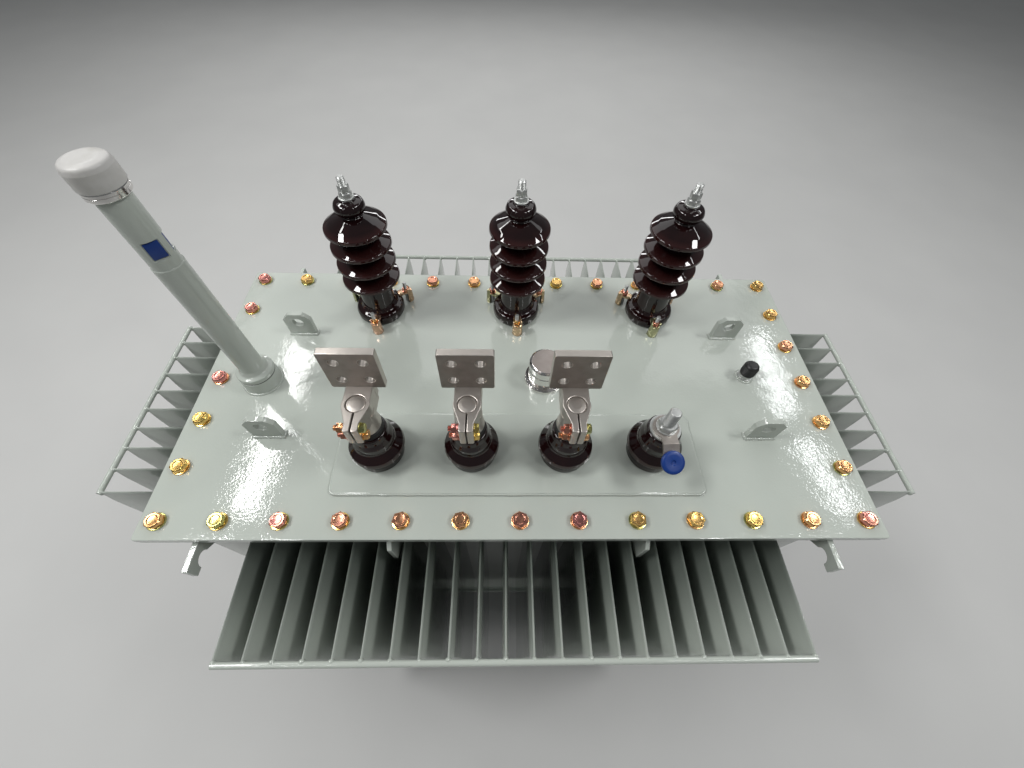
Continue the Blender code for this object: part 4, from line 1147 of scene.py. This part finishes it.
# %% Claws, their studs and their nuts
def loft(rings):
    """Joins closed rings of points in a row, and closes both ends."""
    shape = bmesh.new()
    rows = [[shape.verts.new(point) for point in ring] for ring in rings]
    shape.faces.new(rows[0])
    shape.faces.new(rows[-1])
    count = len(rows[0])
    for lower, upper in zip(rows, rows[1:]):
        for i in range(count):
            j = (i + 1) % count
            shape.faces.new((lower[i], lower[j], upper[j], upper[i]))
    return mesh_from(shape)


CLAW_AXIS = 0.0665
CLAW_OUTER = 0.0116
CLAW_INNER = 0.0088
CLAW_TAPER = 3.5
CLAW_TURN = 105
CLAW_STEPS = 20
CLAW_DIP = 0.0285
CLAW_EARS = 0.0085
WEB_THICK = 0.0042
WEB_LEVEL = 0.0268
CLAW_ANGLES = (-90, 30, 150)
STUD_REACH = 0.0630


def claw_leg():
    rings = []
    for i in range(CLAW_STEPS + 1):
        angle = math.radians(-CLAW_TURN + 2 * CLAW_TURN * i / CLAW_STEPS)
        top = CLAW_DIP + CLAW_EARS * math.sin(angle) ** 4
        levels = [(CLAW_OUTER, 0.0), (CLAW_OUTER, top / 2), (CLAW_OUTER, top),
                  (CLAW_INNER, top), (CLAW_INNER, top / 2), (CLAW_INNER, 0.0)]
        levels = [(r * (1 - CLAW_TAPER * z), z) for r, z in levels]
        rings.append([(CLAW_AXIS + r * math.cos(angle), r * math.sin(angle), z) for r, z in levels])
    return rounded(loft(rings), 0.0006, 2, 40)


def claw_web():
    side = mm((44.5, 7), (48, 8.8), (72, 8.8), (74.5, 6))
    outline = [(x, -y) for x, y in side] + side[::-1]
    web = plate([outline], WEB_THICK, 0.0007)
    web.transform(Matrix.Translation((0, 0, WEB_LEVEL)))
    return web


claw_stud = threaded(0.0040, 0.0, 0.0530, 0.0016, 0.0005)
claw_spots = [((x, y, foot), UP, math.radians(a)) for x, y, foot, _ in HV for a in CLAW_ANGLES]
stud_spots = []
for (x, y, foot), _, angle in claw_spots:
    place = (x + STUD_REACH * math.cos(angle), y + STUD_REACH * math.sin(angle), foot)
    stud_spots.append((place, UP, angle))
claw = joined([claw_leg(), claw_web()])
claw_stud = lathe(claw_stud, steps=16)
scatter("hv_claws", claw, claw_spots, "zinc_yellow", (0.0, 1.0), 0.04, 3, "zinc_pale")
scatter("hv_claw_studs", claw_stud, stud_spots, "tinned_metal", spin=3.0, finish_name="galvanised")
claw_nut = joined([hex_part(0.0130, 0.0306, 0.0068), washer(0.0080, 0.0290, 0.0016)])
scatter("hv_claw_nuts", claw_nut, stud_spots, "zinc_yellow", (0.1, 0.6), 3.0, 8)

# %% [markdown]
# ## Clamp bolts
# Two bolts cross each clamp's jaws, one above the other. Heads are on the right. On the left each has a
# washer, a spring washer, a nut and the thread's end.

# %% Bolts through the jaws
BOLT_REACH = 0.0360
BOLT_DROPS = (0.010, 0.031)
LEFT = (-1.0, 0.0, 0.0)
RIGHT = (1.0, 0.0, 0.0)
left_spots, right_spots = [], []
for number in "123":
    x, y, _, _ = LV[int(number) - 1]
    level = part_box("lv_palm_clamp_" + number)[0].z + CLAMP_TOP
    for drop in BOLT_DROPS:
        left_spots.append(((x - JAW, y - BOLT_REACH, level - drop), LEFT, 0.0))
        right_spots.append(((x + JAW, y - BOLT_REACH, level - drop), RIGHT, 0.0))
flat_washer = washer(0.0090, 0.0, 0.0016)
jaw_head = joined([flat_washer, hex_part(0.0140, 0.0016, 0.0064, 0.0006)])
jaw_nut = joined([flat_washer, washer(0.0072, 0.0016, 0.0022), hex_part(0.0140, 0.0038, 0.0075),
                  lathe(threaded(0.0045, 0.0100, 0.0165, 0.0016, 0.0005), steps=16)])
scatter("clamp_bolt_heads", jaw_head, right_spots, "zinc_yellow", (0.4, 1.0), 3.0, 21)
scatter("clamp_bolt_nuts", jaw_nut, left_spots, "zinc_yellow", (0.0, 0.7), 3.0, 26)

# %% [markdown]
# ## Weld beads
# Whatever stands on the tank is welded to it with a narrow, rippled bead. One recipe sweeps a small circle
# along a line, and swells it with every ripple and a little at random. Half of the bead sinks into the
# corner that it fills.

# %% The bead recipe
BEAD = Recipe("weld_bead", ["Radius", "Ripple", "Wander"])
RIPPLE_SAMPLES = 3
RIPPLE_SWELL = 0.13


def sweep_bead(g):
    ripple = g.given("Ripple")
    curve = g.geo("MeshToCurve", {"Mesh": g.given("Geometry")})
    fine = g.geo("ResampleCurve", {"Curve": curve, "Length": ripple / RIPPLE_SAMPLES}, {"mode": "LENGTH"})
    along = g.geo("SplineParameter", output="Length")
    phase = along / ripple * (2 * math.pi)
    wander = (g.noise(0.03, 2.0) - 0.5) * g.given("Wander")
    size = phase.maths("SINE", phase) * RIPPLE_SWELL + wander + 1.0
    ring = g.geo("CurvePrimitiveCircle", {"Resolution": 8, "Radius": g.given("Radius")})
    g.serve(g.geo("CurveToMesh", {"Curve": fine, "Profile Curve": ring, "Scale": size, "Fill Caps": True}))


sweep_bead(BEAD)


def weld(name, lines, radius, ripple=0.0055, wander=0.8):
    """Beads along lines of points. A line that ends where it began runs round without caps."""
    points, edges = [], []
    for line in lines:
        closed = line[0] == line[-1]
        own = line[:-1] if closed else line
        start = len(points)
        points += own
        edges += [(start + i, start + i + 1) for i in range(len(own) - 1)]
        edges += [(start + len(own) - 1, start)] if closed else []
    start = bpy.data.meshes.new("lines")
    start.from_pydata(points, edges, [])
    values = {"Radius": radius, "Ripple": ripple, "Wander": wander, "Finish": FINISHES["tank_paint"]}
    mesh = grow(BEAD, values, start)
    add_piece(name, mesh, "tank_paint", sharp=math.radians(80))
    print(name + ":", len(lines), "lines,", len(mesh.polygons), "faces")


# %% Beads on the cover
def circle(x, y, z, radius, steps=48):
    loop = [(x + px, y + py, z) for px, py in arc((0, 0), radius, 0, 360, steps)]
    return loop[:-1] + loop[:1]


low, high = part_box("lv_mounting_plate")
LV_CORNER = 0.012
outline = round_cornered(low, high, LV_CORNER, LV_CORNER + 0.0006, 6)
corners = [(px, py, low.z + 0.0016) for px, py in outline]
weld("weld_lv_plate", [corners + corners[:1]], 0.0027, 0.0050)

feet = []
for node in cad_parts:
    if node.startswith("cover_lug"):
        low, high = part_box(node)
        ring = [(low.x, low.y), (high.x, low.y), (high.x, high.y), (low.x, high.y), (low.x, low.y)]
        feet.append([(x, y, low.z) for x, y in ring])
weld("weld_lugs", feet, 0.0038, 0.006, 1.2)
gx, gy, foot, _ = middle("gauge_pipe")
px, py, pocket_foot, _ = middle("thermometer_pocket")
weld("weld_boss", [circle(gx, gy, foot, 0.0362), circle(px, py, pocket_foot, 0.0158)], 0.0028, 0.006, 1.2)

# %% Beads on the tank
low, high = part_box("tank_wall_front")
half_x = high.x
wall_face = -(high.y - SHEET)
bottom, top = low.z, high.z
seams = []
for sx in (-1, 1):
    for sy in (-1, 1):
        seams.append([(sx * half_x, sy * wall_face, z) for z in (bottom, top)])
weld("weld_tank_corners", seams, 0.0028, 0.007)
loop = [(half_x, wall_face), (-half_x, wall_face), (-half_x, -wall_face), (half_x, -wall_face)]
loop += loop[:1]
weld("weld_tank_rims", [[(x, y, bottom) for x, y in loop], [(x, y, top) for x, y in loop]], 0.0034, 0.008)
roots = []
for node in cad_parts:
    if node.startswith("tank_hook"):
        low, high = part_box(node)
        root = min(low.y, high.y, key=abs)
        for x in (low.x, high.x):
            roots.append([(x, root, low.z), (x, root, high.z)])
for side in (-1, 1):
    for x in (-GUSSET_PLACE, GUSSET_PLACE):
        for face in (-0.004, 0.004):
            ends = (top - GUSSET_DROP, top)
            roots.append([(x + face, side * wall_face, z) for z in ends])
weld("weld_brackets", roots, 0.0026)
channels = []
for node in ("base_channel_left", "base_channel_right"):
    low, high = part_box(node)
    for x in (low.x, high.x):
        channels.append([(x, -wall_face - 0.008, high.z), (x, wall_face + 0.008, high.z)])
weld("weld_channels", channels, 0.0028, 0.008)

# %% [markdown]
# ## Studio
# A pale floor fills the wide lens's view. The glossy cover is only as good as what it reflects: in the
# hall, bright patches of roof light lie mirrored at its left and right. Each roof lamp is placed from its
# own reflection: the line of sight through the patch is bounced off the cover up to the lamp's height.
# Panels stand for the rest of the hall.


# %% Lamps placed from their reflections
def mirrored(pixel, height):
    """Where the line of sight through a pixel, bounced off the cover, reaches a height."""
    across = (pixel[0] - FRAME_WIDTH_PIXELS / 2) / FOCAL_PIXELS
    up = (FRAME_HEIGHT_PIXELS / 2 - pixel[1]) / FOCAL_PIXELS
    sight = VIEW_TURN.to_3x3() @ Vector((across, up, -1))
    on_cover = Vector(VIEW_PLACE) + sight * ((COVER_TOP - VIEW_PLACE[2]) / sight.z)
    bounced = Vector((sight.x, sight.y, -sight.z))
    return on_cover + bounced * ((height - COVER_TOP) / bounced.z)


def softbox(name, place, turn, size, power, colour=(1, 1, 1)):
    lamp = bpy.data.lights.new(name, "AREA")
    lamp.shape = "RECTANGLE"
    lamp.size, lamp.size_y = size
    lamp.energy = power
    lamp.color = colour
    placed(name, lamp).matrix_world = Matrix.Translation(place) @ turn
    print(name, [round(v, 2) for v in place], [round(v, 2) for v in size])


def roof_light(name, pixels, height, width, strength, colour):
    """A flat lamp seen in the cover along the line between two pixels. Strength is watts a square metre."""
    near, far = [mirrored(pixel, height) for pixel in pixels]
    along = far - near
    turn = Matrix.Rotation(math.atan2(along.y, along.x), 4, "Z")
    softbox(name, (near + far) / 2, turn, (along.length, width), strength * along.length * width, colour)


def panel(name, place, aim, size, power):
    turn = (Vector(aim) - Vector(place)).to_track_quat("-Z", "Y").to_matrix().to_4x4()
    softbox(name, place, turn, size, power)


ROOF = 4.0
roof_light("roof_left", ((243, 515), (303, 345)), ROOF, 0.24, 55, (1.0, 1.0, 0.98))
roof_light("roof_right_near", ((852, 516), (802, 440)), ROOF, 0.14, 48, (0.97, 0.99, 1.0))
roof_light("roof_right_far", ((788, 416), (757, 336)), ROOF, 0.17, 48, (0.97, 0.99, 1.0))
panel("hall_roof", (0.0, 4.0, 4.4), (0.0, 4.0, 0), (6.6, 3.4), 78)
panel("hall_left", (-2.3, -0.2, ROOF), (-2.3, -0.2, 0), (0.8, 1.0), 78)
panel("hall_right", (2.4, -0.2, ROOF), (2.4, -0.2, 0), (0.8, 1.0), 58)
panel("hall_back", (0.0, 5.8, 2.9), (0, 0, 1.1), (6.0, 0.3), 60)
panel("front_left", (-1.7, -1.6, 3.8), (0, 0, 1.0), (0.12, 1.4), 14)
panel("front_right", (1.7, -1.6, 3.8), (0, 0, 1.0), (0.12, 1.4), 12)

sky = bpy.data.worlds.new("studio")
sky.use_nodes = True
sky.node_tree.nodes["Background"].inputs["Color"].default_value = (0.93, 0.97, 1.0, 1.0)
sky.node_tree.nodes["Background"].inputs["Strength"].default_value = 0.14
bpy.context.scene.world = sky
bpy.context.scene.view_settings.view_transform = "Standard"

# %% Floor
FLOOR_HALF = 40.0
shape = bmesh.new()
bmesh.ops.create_grid(shape, x_segments=1, y_segments=1, size=FLOOR_HALF)
floor_mesh = mesh_from(shape, "studio_floor")
floor_mesh.materials.append(finish(
    "studio_floor", None,
    Base_Color=lambda graph: graph.mix(graph.noise(0.5, 4.0), (0.56, 0.56, 0.545), (0.50, 0.50, 0.49)),
    Roughness=lambda graph: graph.noise(0.3, 3.0) * 0.1 + 0.65))
floor = placed("studio_floor", floor_mesh)
